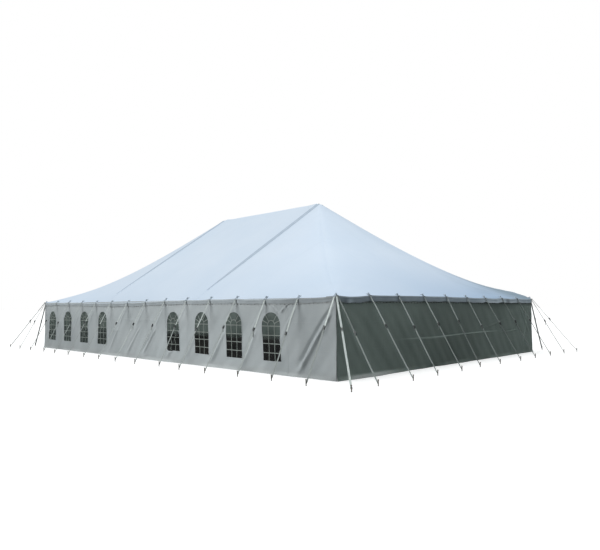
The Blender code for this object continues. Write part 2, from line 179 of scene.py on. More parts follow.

# The same for the valance: painted light and shade, lighter on the right end and with light and dark spots at
# its folds
VALANCE_PAINTED_LIGHT = {
    "front": (
        (-9.1, 1.12, 0.94), (-6.0, 1.26, 0.94), (1.0, 1.20, 0.92), (5.2, 1.08, 0.92), (6.8, 0.98, 0.74),
        (7.5, 0.72, 0.62), (9.1, 0.62, 0.78),
    ),
    "right": (
        (-5.95, 1.15, 0.80), (-5.72, 1.10, 0.52), (-5.54, 1.40, 1.45), (-5.36, 1.20, 0.90),
        (-4.0, 1.25, 0.90), (-2.0, 1.45, 1.00), (0.0, 1.60, 1.08), (3.0, 1.75, 1.25), (3.62, 1.70, 1.20),
        (3.86, 0.85, 0.45), (4.10, 1.70, 1.25), (6.0, 1.80, 1.35),
    ),
    "back": ((-1.0, 1.3, 0.9), (1.0, 1.3, 0.9)),
    "left": ((-1.0, 1.3, 0.9), (1.0, 1.3, 0.9)),
}

UP = np.array([0.0, 0.0, 1.0])


def pole_places(half, bays):
    span = half - POLE_INSET
    return [-span + 2 * span * i / bays for i in range(bays + 1)]


class Side:
    """One side of the marquee: u runs along the eave, out is measured from the eave line, and z is up."""

    def __init__(self, name, quarter_turns):
        is_long = quarter_turns % 2 == 0
        self.name = name
        self.turn = quarter_turns * math.pi / 2
        self.half, self.offset = (HALF_LENGTH, HALF_WIDTH) if is_long else (HALF_WIDTH, HALF_LENGTH)
        self.bays = LONG_BAYS if is_long else END_BAYS
        self.reach = LONG_SIDE_REACH if is_long else END_SIDE_REACH
        self.owns_corners = is_long
        self.lean = 1 if is_long else -1
        self.along = np.array([math.cos(self.turn), math.sin(self.turn), 0.0])
        self.outward = np.array([math.sin(self.turn), -math.cos(self.turn), 0.0])

    def at(self, u, out, z):
        u, out, z = np.broadcast_arrays(*[np.asarray(v, float)[..., None] for v in (u, out, z)])
        return u * self.along + (self.offset + out) * self.outward + z * UP

    def poles(self):
        return pole_places(self.half, self.bays)

    def span(self, node):
        """Where a node of the frame starts and ends along this side."""
        ends = [float(np.array(corner) @ self.along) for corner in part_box(node)]
        return min(ends), max(ends)


SIDES = {name: Side(name, turns) for turns, name in enumerate(("front", "right", "back", "left"))}
ENDS = (("right", 1), ("left", -1))


def smooth_step(value):
    value = np.clip(value, 0.0, 1.0)
    return value * value * (3 - 2 * value)


def bell(value, width):
    return np.exp(-((value / width) ** 2))


def eave_line(u, half, dips, cusp):
    """Height of the eave above its plain line: a cusp at each side pole and a dip in each bay."""
    span = half - POLE_INSET
    place = (u + span) / (2 * span) * len(dips)
    away = np.clip(2 * np.abs(place - np.round(place)), 0, 1)
    bay = np.clip(np.floor(place), 0, len(dips) - 1).astype(int)
    return cusp * (1 - away) ** 2.6 - np.array(dips)[bay] * np.sin(away * math.pi / 2)


def eave_lift(x, y):
    """How far the poles hold the long eaves and the end eaves above their plain height."""
    long_lift = np.interp(np.where(y < 0, x, -x), pole_places(HALF_LENGTH, LONG_BAYS), FRONT_EAVE)
    end_lift = np.interp(np.where(x > 0, y, -y), pole_places(HALF_WIDTH, END_BAYS), RIGHT_EAVE)
    return long_lift, end_lift


def slack_corner(x, y):
    """Slack cloth that stands up along the hip just inside the far right corner pole."""
    along = (x - PEAK_X + y) / 2 / HALF_WIDTH
    beside = (x - PEAK_X - y) / math.sqrt(2)
    from_edge = np.maximum(np.minimum(HALF_LENGTH - x, HALF_WIDTH - y), 0.0)
    return SLACK_HEIGHT * bell(along - 0.94, 0.12) * bell(beside, 0.45) * (1 - np.exp(-from_edge / 0.2))


def roof_height(x, y):
    """Height of the canopy over the plan: straight slopes, hips that sag, and an eave that its poles hold."""
    past_peak = np.maximum(np.abs(x) - PEAK_X, 0.0)
    short_of_peak = np.maximum(PEAK_X - np.abs(x), 0.0)
    across = np.abs(y)
    far = np.maximum(past_peak, across)
    near = np.minimum(past_peak, across)
    down = far / HALF_WIDTH
    toward_hip = near / np.maximum(far, 1e-6)
    sag = np.where(np.asarray(x) > 0, RIGHT_HIP_SAG, LEFT_HIP_SAG)
    sag = sag * toward_hip**HIP_SAG_SPREAD * np.sin(math.pi * np.clip(down, 0, 1) ** HIP_SAG_SKEW)
    hip = HIP_ROUNDING * np.sin(math.pi * np.clip(down, 0, 1))
    rounded = (far + near + np.sqrt((far - near) ** 2 + hip**2)) / 2
    rounded = np.where(past_peak > 0, rounded, far)
    ridge = RIDGE_ROUNDING * smooth_step(short_of_peak / 0.6)
    rounded = np.where(past_peak > 0, rounded, np.sqrt(rounded**2 + ridge**2))
    height = PEAK_HEIGHT - (PEAK_HEIGHT - EAVE_HEIGHT) * rounded / HALF_WIDTH - sag
    long_lift, end_lift = eave_lift(x, y)
    long_edge = eave_line(x, HALF_LENGTH, LONG_DIPS, LONG_EAVE_CUSP) + long_lift
    end_edge = eave_line(y, HALF_WIDTH, END_DIPS, END_EAVE_CUSP) + end_lift
    long_edge = long_edge * np.exp(-(HALF_WIDTH - across) / EAVE_FADE)
    end_edge = end_edge * np.exp((np.abs(x) - HALF_LENGTH) / EAVE_FADE)
    edge = np.where(np.abs(long_edge) > np.abs(end_edge), long_edge, end_edge)
    return height + edge + slack_corner(x, y) + roof_creases(x, y)


def roof_creases(x, y):
    """Fine creases that fan out of each corner pole, and a slow unevenness over the slopes."""
    from_end = HALF_LENGTH - np.abs(x)
    from_side = HALF_WIDTH - np.abs(y)
    away = np.hypot(from_end, from_side)
    angle = np.arctan2(from_side, from_end)
    far_out = np.where((x > 0) & (y > 0), 1.7, 0.9)
    reach = away / far_out * np.exp(1 - away / far_out)
    fan = np.sin(angle * 26 + 2.0 * np.sign(x) + 0.7 * np.sign(y)) * bell(angle - math.pi / 4, 0.5)
    slow = np.sin(x * 1.1 + 0.6 * np.sin(y * 0.9)) * np.sin(y * 1.3 + 0.8 * np.sin(x * 0.7))
    open_cloth = smooth_step(np.minimum(from_end, from_side) / 1.5)
    depth = np.where((x > 0) & (y > 0), 0.026, 0.007)
    return depth * fan * reach + 0.006 * slow * open_cloth


def spread(low, high, marks, spacing):
    """Places from low to high that take in the marks, none further apart than the spacing."""
    stops = sorted({low, high, *[mark for mark in marks if low < mark < high]})
    places = []
    for first, second in zip(stops, stops[1:]):
        count = max(1, math.ceil((second - first) / spacing))
        places += [first + (second - first) * i / count for i in range(count)]
    return np.array(places + [high])


def read(elements, name, width=1, kind=float):
    """One value, or a row of values, from each element of a mesh."""
    values = np.empty(len(elements) * width, kind)
    elements.foreach_get(name, values)
    return values.reshape(-1, width) if width > 1 else values


def unit(vectors):
    return vectors / np.linalg.norm(vectors, axis=-1, keepdims=True)


def grid(points):
    """A shape from rows of points. It faces the viewer when the columns run right and the rows run up."""
    rows, columns = points.shape[:2]
    starts = [r * columns + c for r in range(rows - 1) for c in range(columns - 1)]
    return points, [(i, i + 1, i + columns + 1, i + columns) for i in starts]


def merged(shapes):
    """One shape from several, each given as points and faces."""
    shapes = [(np.reshape(points, (-1, 3)), faces) for points, faces in shapes]
    starts = np.cumsum([0] + [len(points) for points, _ in shapes]).tolist()
    faces = [tuple(int(i) + start for i in face) for start, shape in zip(starts, shapes) for face in shape[1]]
    return np.concatenate([points for points, _ in shapes]), faces


def lofted(rings):
    """A closed shape through rings of points, which run anticlockwise when its end is looked at."""
    rings = np.asarray(rings, float)
    count, sides = rings.shape[:2]
    last = (count - 1) * sides
    around = [(i, (i + 1) % sides) for i in range(sides)]
    walls = [(k + i, k + j, k + sides + j, k + sides + i) for k in range(0, last, sides) for i, j in around]
    return rings, [tuple(range(sides))[::-1], *walls, tuple(range(last, last + sides))]


def turned(profile, sides, middle=(0.0, 0.0)):
    """A closed turned shape. The profile is (radius, height) from bottom to top."""
    x, y = middle
    angles = [2 * math.pi * i / sides for i in range(sides)]
    return lofted([[(x + r * math.cos(a), y + r * math.sin(a), z) for a in angles] for r, z in profile])


def tube(path, radius, sides=8):
    """A round bar along a path."""
    path = np.asarray(path, float)
    run = unit(np.gradient(path, axis=0))
    first = np.cross(run[0], (0.31, 0.83, 0.46))
    angles = [2 * math.pi * i / sides for i in range(sides)]
    rings = []
    for place, direction in zip(path, run):
        first = unit(first - direction * (first @ direction))
        second = np.cross(direction, first)
        rings.append([place + radius * (math.cos(a) * first + math.sin(a) * second) for a in angles])
    return lofted(rings)


def ribbon(path, across, width, thickness):
    """A flat strap along a path. across is its width direction."""
    path = np.asarray(path, float)
    wide = across * width / 2
    thick = unit(np.cross(np.gradient(path, axis=0), across)) * thickness / 2
    corners = (thick - wide, thick + wide, wide - thick, -wide - thick)
    return lofted(np.stack([path + corner for corner in corners], 1))


def block(low, high):
    """A block between two corners."""
    (a, b, c), (d, e, f) = low, high
    return lofted([[(a, b, z), (d, b, z), (d, e, z), (a, e, z)] for z in (c, f)])


def add_object(name, data):
    added = bpy.data.objects.new(name, data)
    bpy.context.scene.collection.objects.link(added)
    return added


def mesh_piece(name, shape, material):
    points, faces = shape
    mesh = bpy.data.meshes.new(name)
    mesh.from_pydata(np.reshape(points, (-1, 3)).tolist(), [], faces)
    mesh.materials.append(material)
    mesh.shade_smooth()
    return add_object(name, mesh)


def settle(piece, sharp):
    """Replaces a piece's mesh by what its modifiers make of it."""
    graph = bpy.context.evaluated_depsgraph_get()
    mesh = bpy.data.meshes.new_from_object(piece.evaluated_get(graph))
    piece.modifiers.clear()
    piece.data = mesh
    mesh.shade_smooth()
    mesh.set_sharp_from_angle(angle=math.radians(sharp))
    return piece


def joined(name, shapes, material):
    """One piece from several shapes."""
    return settle(mesh_piece(name, merged(shapes), material), 40)


def cloth_piece(name, shape, material, thickness, sharp=50):
    """A piece of cloth, with its thickness behind its face."""
    piece = mesh_piece(name, shape, material)
    modifier = piece.modifiers.new("thickness", "SOLIDIFY")
    modifier.thickness = thickness
    modifier.offset = -1
    return settle(piece, sharp)


def move_points(piece, rule):
    """Moves the points of a finished mesh by a rule."""
    vertices = piece.data.vertices
    vertices.foreach_set("co", np.ascontiguousarray(rule(read(vertices, "co", 3))).ravel())
    piece.data.update()


def follow_eave(points):
    """Lowers or lifts the tops of the side poles with the eave that they hold."""
    x, y, z = points.T
    on_long_side = np.abs(y) > HALF_WIDTH - 0.15
    lift = np.where(on_long_side, *eave_lift(x, y))
    return np.stack([x, y, z + lift * smooth_step((z - 1.2) / 0.7)], -1)


def lay_flat(piece, rule):
    """Fills the UV map. The rule turns a face corner and its face's middle into a place on the flat cloth."""
    mesh = piece.data
    corners = read(mesh.vertices, "co", 3)[read(mesh.loops, "vertex_index", kind=int)]
    middles = np.repeat(read(mesh.polygons, "center", 3), read(mesh.polygons, "loop_total", kind=int), axis=0)
    flat = np.stack(rule(corners, middles), -1)
    mesh.uv_layers.new(name="cloth").data.foreach_set("uv", flat.astype(np.float32).ravel())


def dress(piece, finish, *nodes):
    """Fixes a finished piece to the marquee and hides the frame's nodes that it stands for. Its finish
    argument is not used.
    """
    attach(piece, "root")
    if nodes:
        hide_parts(*nodes)
    return piece


def fill_inputs(tree, node, values):
    """Sets or links a node's inputs. A colour is given as red, green and blue."""
    for name, value in values.items():
        socket = node.inputs[name]
        if isinstance(value, Value):
            tree.links.new(value.socket, socket)
        else:
            socket.default_value = (*value, 1) if socket.type == "RGBA" else value


class Value:
    """A value that a node of a tree gives. It sums like a plain one."""

    def __init__(self, tree, kind, values, output=0, **settings):
        self.tree = tree
        self.node = tree.nodes.new(kind)
        for name, value in settings.items():
            setattr(self.node, name, value)
        fill_inputs(tree, self.node, values)
        self.socket = self.node.outputs[output]

    def math(self, operation, other=0.0):
        return Value(self.tree, "ShaderNodeMath", {0: self, 1: other}, operation=operation)

    def __add__(self, other):
        return self.math("ADD", other)

    def __sub__(self, other):
        return self.math("SUBTRACT", other)

    def __mul__(self, other):
        return self.math("MULTIPLY", other)

    def __abs__(self):
        return self.math("ABSOLUTE")

    def ramp(self, low, high, start=0.0, end=1.0):
        """Goes from start to end while this value goes from low to high, and stops there."""
        return Value(self.tree, "ShaderNodeMapRange", {0: self, 1: low, 2: high, 3: start, 4: end})

    def split(self):
        """This place's three coordinates."""
        return [Value(self.tree, "ShaderNodeSeparateXYZ", {0: self}, i) for i in range(3)]


class Finish:
    """A material whose nodes are added one by one."""

    def __init__(self, name, roughness, metallic=0.0, specular=0.5):
        self.material = bpy.data.materials.new(name)
        self.material.use_nodes = True
        self.tree = self.material.node_tree
        self.place = self.add("TexCoord", {}, "Object")
        self.set({"Roughness": roughness, "Metallic": metallic, "Specular IOR Level": specular})

    def set(self, values):
        fill_inputs(self.tree, self.tree.nodes["Principled BSDF"], values)

    def add(self, kind, values, output=0, **settings):
        return Value(self.tree, f"ShaderNode{kind}", values, output, **settings)

    def flat_place(self):
        return self.add("UVMap", {}, uv_map="cloth")

    def mix(self, share, first, second, blend="MIX"):
        return self.add("Mix", {0: share, 6: first, 7: second}, 2, data_type="RGBA", blend_type=blend)

    def own_tone(self, tone):
        """The tone multiplied by the one that is stored with the cloth."""
        return self.mix(1.0, tone, self.add("Attribute", {}, attribute_name="cloth_tone"), "MULTIPLY")

    def noise(self, place, scale, detail, roughness=0.5, stretch=(1, 1, 1)):
        place = self.add("Mapping", {"Vector": place, "Scale": stretch})
        values = {"Vector": place, "Scale": scale, "Detail": detail, "Roughness": roughness}
        return self.add("TexNoise", values)

    def bumps(self, *layers):
        """The normal after several layers of relief, each given as height, strength and distance."""
        under = {}
        for height, strength, distance in layers:
            values = {"Height": height, "Strength": strength, "Distance": distance, **under}
            under = {"Normal": self.add("Bump", values)}
        return under["Normal"]

    def done(self, tone, normal):
        self.set({"Base Color": tone, "Normal": normal})
        return self.material


def canopy_cloth():
    """White coated roof cloth: welded strips, doubled at the peaks, with weather streaks and creases.

    It has painted shade: toward the eaves near both ends, in the slack corners at the back, and most along
    the right end's far hip.
    """
    look = Finish("white canopy cloth", roughness=0.5, specular=0.25)
    flat = look.flat_place()
    x, y, z = look.place.split()
    end = abs(x)

    def away_from(spot_x, spot_y):
        offset = look.add("CombineXYZ", {0: end - spot_x, 1: y - spot_y})
        return look.add("VectorMath", {0: offset}, "Value", operation="LENGTH")

    strip = flat.split()[0].math("DIVIDE", STRIP_WIDTH).math("FRACT")
    weld = (abs(strip - 0.5) * STRIP_WIDTH).ramp(0.020, 0.024, 1, 0)
    doubled = away_from(PEAK_X, 0.0).ramp(0.75, 0.76, 1, 0)
    weather = look.noise(flat, 1.3, 5, stretch=(1.0, 0.12, 1.0))
    mottle = look.noise(look.place, 0.45, 4)
    fine = look.noise(look.place, 9.0, 5)
    tone = look.mix(mottle.ramp(0.35, 0.65), (0.725, 0.825, 0.945), (0.760, 0.850, 0.960))
    tone = look.mix(weather.ramp(0.55, 0.80, 0, 0.06), tone, (0.60, 0.66, 0.70))
    tone = look.mix(fine.ramp(0.60, 0.85, 0, 0.05), tone, (0.62, 0.70, 0.78))
    # Painted shade: the cloth turns blue-grey toward the eaves near both ends, more toward the back
    near_end = end.ramp(5.0, HALF_LENGTH, 0, 0.75)
    low_down = z.ramp(EAVE_HEIGHT, EAVE_HEIGHT + 1.6, 1, 0)
    painted_eave_shade = near_end * y.ramp(-5.5, 2.5, 0.15, 1) + 0.10
    tone = look.mix(painted_eave_shade * low_down, tone, (0.36, 0.50, 0.68))
    from_corner = away_from(HALF_LENGTH, HALF_WIDTH)
    beyond = end - HALF_LENGTH
    angle = (y - HALF_WIDTH).math("ARCTAN2", beyond)
    fan = look.add("CombineXYZ", {0: angle * 12.0, 1: from_corner * 0.5})
    # Painted shade of the slack back corners: darker toward each back corner, with streaks of crease shade
    # fanning out of it
    painted_crease_streaks = look.noise(fan, 1.0, 2).ramp(0.42, 0.62)
    painted_corner_shade = from_corner.ramp(0.5, 5.0, 0.45, 0)
    tone = look.mix(painted_corner_shade, tone, (0.34, 0.43, 0.52))
    tone = look.mix(painted_crease_streaks * painted_corner_shade, tone, (0.22, 0.29, 0.37))
    # Painted shade along the right end's far hip: a narrow line at the hip and a broad band near the corner,
    # broken up along the creases
    off_hip = beyond - y + HALF_WIDTH
    hip_line = off_hip.ramp(0.25, 0.95, 0.75, 0) * from_corner.ramp(3.0, 6.4, 1, 0)
    hip_band = off_hip.ramp(0.50, 1.90, 0.75, 0) * from_corner.ramp(1.6, 3.6, 1, 0)
    shade = hip_line.math("MAXIMUM", hip_band) * x.ramp(2.0, 4.0) * off_hip.ramp(-0.90, 0.05)
    broken = look.noise(fan, 2.4, 3).ramp(0.35, 0.65, 0.70, 1.10)
    tone = look.mix(shade * broken, tone, (0.23, 0.30, 0.34))
    tone = look.mix(weld * 0.05, tone, (0.50, 0.58, 0.68))
    tone = look.mix(doubled * 0.05, tone, (0.55, 0.62, 0.72))
    creases = (look.noise(look.place, 2.6, 4, roughness=0.6), 0.10, 0.02)
    weave = (look.noise(flat, 260.0, 1), 0.05, 0.001)
    return look.done(tone, look.bumps(creases, weave, (weld + doubled, 0.5, 0.001)))


def wall_cloth():
    """Grey coated wall cloth: crumpled from its bag, with fold lines, and dirt splashes near the ground."""
    look = Finish("grey wall cloth", roughness=0.55, specular=0.3)
    flat = look.flat_place()
    along, up, _ = flat.split()
    mottle = look.noise(flat, 0.9, 5)
    streak = look.noise(flat, 2.2, 3, stretch=(1.0, 0.35, 1.0))
    fine = look.noise(flat, 34.0, 4)
    tone = look.mix(mottle.ramp(0.3, 0.7), (0.350, 0.382, 0.384), (0.400, 0.430, 0.430))
    tone = look.mix(streak.ramp(0.5, 0.8, 0, 0.20), tone, (0.30, 0.335, 0.335))
    tone = look.mix(fine.ramp(0.5, 0.75, 0, 0.10), tone, (0.47, 0.49, 0.48))
    splash = up.ramp(0.02, 0.22, 1, 0) * fine.ramp(0.35, 0.7)
    tone = look.mix(splash * 0.35, tone, (0.22, 0.20, 0.16))
    fold_line = up.math("PINGPONG", 0.36).math("MINIMUM", along.math("PINGPONG", 0.41)).ramp(0.0, 0.014, 1, 0)
    # Multiplied by the stored tone, which paints the light and shade on each wall
    tone = look.own_tone(look.mix(fold_line * 0.07, tone, (0.52, 0.54, 0.54)))
    drape = (look.noise(flat, 1.6, 3, stretch=(1.0, 0.55, 1.0)), 0.35, 0.05)
    crumple = (look.noise(flat, 5.5, 6, roughness=0.62), 0.40, 0.012)
    weave = (look.noise(flat, 420.0, 1), 0.06, 0.001)
    return look.done(tone, look.bumps(drape, crumple, (fold_line, 0.5, 0.002), weave))


def plain_cloth(name, light, dark, roughness, toned=False):
    """A strip of cloth or webbing, mottled between two tones and woven. A toned one has stored tones too."""
    look = Finish(name, roughness, specular=0.25)
    mottle = look.noise(look.place, 3.0, 5)
    tone = look.mix(mottle.ramp(0.3, 0.7), dark, light)
    specks = look.noise(look.place, 60.0, 3).ramp(0.55, 0.8, 0, 0.25)
    tone = look.mix(specks, tone, [0.72 * value for value in dark])
    if toned:
        tone = look.own_tone(tone)
    return look.done(tone, look.bumps((mottle, 0.25, 0.01), (look.noise(look.place, 300.0, 1), 0.12, 0.001)))


def window_sheet():
    """Clear window sheet: its colour is painted shade of the dim inside, darker below and paler in the
    arches, with ripples and a soft gloss.
    """
    look = Finish("clear window sheet", roughness=0.16, specular=0.3)
    x, _, z = look.place.split()
    smear = look.noise(look.place, 3.5, 4)
    upper = look.mix(smear.ramp(0.3, 0.7), (0.060, 0.078, 0.072), (0.100, 0.125, 0.115))
    lower = look.mix(smear.ramp(0.4, 0.7), (0.003, 0.004, 0.004), (0.010, 0.011, 0.010))
    # Painted light: the lower panes are paler toward the left end
    lower = look.mix(x.ramp(-7.0, 3.0, 1, 0), lower, (0.055, 0.070, 0.066))
    tone = look.mix(z.ramp(0.92, 1.12), lower, upper)
    normal = look.bumps((look.noise(look.place, 7.0, 2), 0.25, 0.006))
    look.set({"Alpha": 0.88, "Coat Weight": 0.12, "Coat Roughness": 0.12})
    return look.done(tone, normal)


def webbing():
    """Light strap webbing with a ribbed weave that follows the strap."""
    look = Finish("light strap webbing", roughness=0.75, specular=0.2)
    along, up, _ = look.flat_place().split()
    ribs = up.math("PINGPONG", 0.0035)
    edge = along.math("PINGPONG", STRAP_WIDTH / 2)
    mottle = look.noise(look.place, 4.0, 5)
    tone = look.mix(mottle.ramp(0.3, 0.7), (0.42, 0.47, 0.46), (0.52, 0.57, 0.55))
    tone = look.mix(edge.ramp(0.002, 0.005, 0.35, 0), tone, (0.30, 0.33, 0.33))
    tone = look.mix(ribs.ramp(0.0, 0.0035, 0.10, 0), tone, (0.32, 0.35, 0.34))
    # Multiplied by each strap's stored tone, which paints its light and shade
    return look.done(look.own_tone(tone), look.bumps((ribs, 0.4, 0.3)))


def metal(name, light, dark, roughness, metallic):
    """Galvanised or plated metal: cloudy tone, fine scratches and a slightly uneven gloss."""
    look = Finish(name, roughness, metallic)
    cloud = look.noise(look.place, 18.0, 5)
    scratch = look.noise(look.place, 90.0, 2, stretch=(1.0, 1.0, 0.06))
    tone = look.mix(cloud.ramp(0.3, 0.7), dark, light)
    tone = look.mix(scratch.ramp(0.55, 0.8, 0, 0.3), tone, [0.6 * value for value in dark])
    look.set({"Roughness": cloud.ramp(0.3, 0.7, roughness * 0.8, min(1.0, roughness * 1.3))})
    return look.done(tone, look.bumps((scratch, 0.1, 0.002)))


CLOTH = {
    "canopy": canopy_cloth(),
    "wall": wall_cloth(),
    "valance": plain_cloth("grey valance cloth", (0.345, 0.385, 0.405), (0.295, 0.33, 0.35), 0.55, True),
    # Partly the lacing's colour and partly painted shade along the rain flap's edge
    "seam": plain_cloth("grey seam webbing", (0.53, 0.62, 0.72), (0.47, 0.56, 0.66), 0.6),
    "window": window_sheet(),
    "bars": plain_cloth("pale window webbing", (0.215, 0.245, 0.23), (0.165, 0.185, 0.17), 0.6),
    "strap": webbing(),
    "tab": plain_cloth("grey eave tabs", (0.33, 0.39, 0.45), (0.26, 0.31, 0.36), 0.65),
    "rope": plain_cloth("grey rope", (0.40, 0.42, 0.42), (0.30, 0.32, 0.32), 0.8),
}
METAL = {
    "pole": metal("galvanised pole steel", (0.66, 0.68, 0.69), (0.48, 0.50, 0.52), 0.38, 0.9),
    "ratchet": metal("dull plated ratchet steel", (0.16, 0.17, 0.17), (0.07, 0.075, 0.075), 0.45, 0.6),
    "clip": metal("dull clip steel", (0.24, 0.25, 0.25), (0.14, 0.15, 0.15), 0.5, 0.5),
    "collar": metal("grey collar steel", (0.34, 0.35, 0.37), (0.20, 0.21, 0.22), 0.5, 0.5),
    "stake": metal("worn stake steel", (0.30, 0.27, 0.24), (0.15, 0.12, 0.10), 0.6, 0.7),
}


def slope_map(corners, middles):
    """Flat place on the canopy: across the welded strips, and down the slope."""
    on_end = np.abs(middles[:, 0]) - PEAK_X > np.abs(middles[:, 1])
    across = np.where(on_end, corners[:, 1], corners[:, 0])
    down = np.where(on_end, np.abs(corners[:, 0]) - PEAK_X, np.abs(corners[:, 1]))
    return across, down * SLOPE_STRETCH


def plain_map(corners, middles):
    """Flat place on a small piece of roof cloth without welds."""
    return corners[:, 0] * 0 + 0.2, corners[:, 1]


def over_roof(x, y, lift):
    """Places above the roof, given the places in plan."""
    return np.stack(np.broadcast_arrays(x, y, roof_height(x, y) + lift), -1)


def canopy_sheet(name, plan, flat, area, *nodes):
    """A section of the canopy over a grid of plan points."""
    shape = grid(over_roof(plan[..., 0], plan[..., 1], 0.0))
    piece = cloth_piece(name, shape, CLOTH["canopy"], CANOPY_CLOTH)
    lay_flat(piece, slope_map)
    dress(piece, "canopy_cloth", *nodes)


def build_canopy():
    """The middle section between the peaks, and the two hipped ends. Rows are closest near the eave."""
    share = np.concatenate([np.linspace(0.0, 0.9, 46), np.linspace(0.9, 1.0, 12)[1:]])
    slope = HALF_WIDTH * SLOPE_STRETCH
    depth = np.concatenate([[0.0, 0.03, 0.06], PEAK_HOLE + (HALF_WIDTH - PEAK_HOLE) * share])
    y = np.concatenate([-depth[::-1], depth[1:]])
    poles = pole_places(HALF_LENGTH, LONG_BAYS)
    x = spread(-PEAK_X, PEAK_X, poles, 0.11)
    half = PEAK_X - np.sqrt(np.maximum(PEAK_HOLE**2 - y**2, 0.0))
    plan = np.stack(np.broadcast_arrays(x[None, :] * half[:, None] / PEAK_X, y[:, None]), -1)
    area = 2 * PEAK_X * 2 * slope
    middle = ("canopy_front_middle", "canopy_back_middle")
    canopy_sheet("canopy_middle_section", plan, (2 * PEAK_X, 2 * slope), area * 0.999, *middle)
    long_edge = spread(PEAK_X, HALF_LENGTH, poles, 0.11)
    end_edge = spread(-HALF_WIDTH, HALF_WIDTH, pole_places(HALF_WIDTH, END_BAYS), 0.12)
    outer = [(x, -HALF_WIDTH) for x in long_edge] + [(HALF_LENGTH, y) for y in end_edge[1:]]
    outer = np.array(outer + [(x, HALF_WIDTH) for x in long_edge[-2::-1]])
    peak = np.array([PEAK_X, 0.0])
    inner = peak + PEAK_HOLE * unit(outer - peak)
    rows = share[::-1][:, None, None]
    plan = outer * rows + inner * (1 - rows)
    for end, sign in ENDS:
        nodes = [f"canopy_{slope_name}_{end}" for slope_name in ("front", "back")]
        nodes += [f"canopy_end_{end}_{half_name}" for half_name in ("front", "back")]
        flat = (2 * HALF_WIDTH, 2 * slope)
        canopy_sheet(f"canopy_{end}_section", plan * sign, flat, 2 * HALF_WIDTH * slope, *nodes)


def build_seams():
    """Rain flaps over the laced seams beside the peaks, and the raised lacing edge that shows past them.

    The lacing edge narrows to nothing near the eave. Its grey is partly the lacing and partly painted shade
    along the flap's raised edge.
    """
    y = spread(PEAK_HOLE + 0.02, HALF_WIDTH - 0.01, [], 0.12)
    y = y[:, None]
    share = (y - y[0]) / (y[-1] - y[0])
    laced = share[:, 0] < 0.93
    across = np.linspace(-1, 1, 7)
    lacing_across = np.linspace(-1, 1, 13)
    lacing_width = LACING_WIDTH * (1 - (share / 0.94) ** 5) + 0.004
    rise = 0.007 + (1 - lacing_across**4) * (0.009 + 0.006 * (1 - share))
    for end, sign in ENDS:
        for slope_name, toward in (("front", -1), ("back", 1)):
            name = f"{slope_name}_{end}"
            lift = 0.004 + 0.012 * (1 - share) * smooth_step(sign * across)
            points = over_roof(sign * PEAK_X + across * FLAP_WIDTH / 2, toward * y, lift)[::toward]
            flap = cloth_piece(f"rain_flap_{name}", grid(points), CLOTH["canopy"], SMALL_CLOTH)
            lay_flat(flap, lambda corners, middles: (corners[:, 0] * 0 + 0.2, np.abs(corners[:, 1])))
            dress(flap, "canopy_cloth", f"seam_flap_{name}")
            x = sign * (PEAK_X + 0.035) + lacing_across * lacing_width / 2
            points = over_roof(x, toward * y, rise)[laced][::toward]
            lacing = cloth_piece(f"seam_lacing_{name}", grid(points), CLOTH["seam"], SMALL_CLOTH)
            dress(lacing, "canopy_cloth")


def hem_map(side):
    """Flat place on a side's hanging cloth: along it and up."""
    return lambda corners, middles: (corners @ side.along, corners[:, 2])


def eave_points(side, u):
    """The canopy's own edge along one side."""
    edge = side.at(u, 0.0, 0.0)
    edge[..., 2] = roof_height(edge[..., 0], edge[..., 1])
    return edge


# How far the foot of the valance swings out in each bay of the right end, in metres
RIGHT_FLARES = (0.010, 0.006, 0.006, 0.008, 0.010, 0.020, 0.060, 0.050, 0.030)


def valance_out(side, u, drop):
    """How far out the valance hangs at a share of its drop: it swings out and waves at its foot."""
    span = side.half - POLE_INSET
    place = (u + span) / (2 * span) * side.bays
    if side.name == "right":
        flare = np.interp(place - 0.5, range(side.bays), RIGHT_FLARES)
    else:
        flare = 0.005 + 0.003 * np.sin(place * 1.7 + side.turn)
    wave = np.sin(u * 17.0 + 1.4 * np.sin(u * 2.3 + side.turn)) + 0.6 * np.sin(u * 7.1 + 2 * side.turn)
    return 0.001 + 0.004 * smooth_step(drop * 4) + (flare - 0.012 + 0.003 * (1.2 + wave)) * drop**1.6


# Paints the light and shade of the valance and of the webbing on it
def tone_valance(piece, side):
    give_tone(piece, side, VALANCE_PAINTED_LIGHT[side.name], heights=(EAVE_HEIGHT - VALANCE_DROP, EAVE_HEIGHT))


def build_valance(side):
    """The strip that hangs from the eave: it follows the canopy's edge and waves at its foot."""
    u = spread(-side.half, side.half, side.poles(), 0.045)
    drop = np.linspace(0, 1, 9)[:, None]
    foot = VALANCE_DROP * (1 + 0.05 * np.sin(u * 11.0 + side.turn)) + (0.0 if side.owns_corners else 0.03)
    points = side.at(u, valance_out(side, u, drop), eave_points(side, u)[:, 2] - drop * foot)[::-1]
    piece = cloth_piece(f"hanging_valance_{side.name}", grid(points), CLOTH["valance"], SMALL_CLOTH)
    tone_valance(piece, side)
    dress(piece, "canopy_cloth", f"valance_{side.name}")


def fold(u, z, top, foot, width, height, hollow=0.45):
    """A long soft fold between two points of the wall, with a shallow hollow on its upper side."""
    start = np.array(top)
    run = np.array(foot) - start
    length = math.hypot(*run)
    run = run / length
    share = ((u - start[0]) * run[0] + (z - start[1]) * run[1]) / length
    beside = (u - start[0]) * run[1] - (z - start[1]) * run[0]
    beside = beside * math.copysign(1.0, -run[0])
    wide = width * (0.55 + 0.75 * np.clip(share, 0, 1))
    ends = smooth_step(share * 5) * smooth_step((1 - share) * 4)
    return height * (bell(beside, wide) - hollow * bell(beside - 1.7 * wide, wide)) * ends


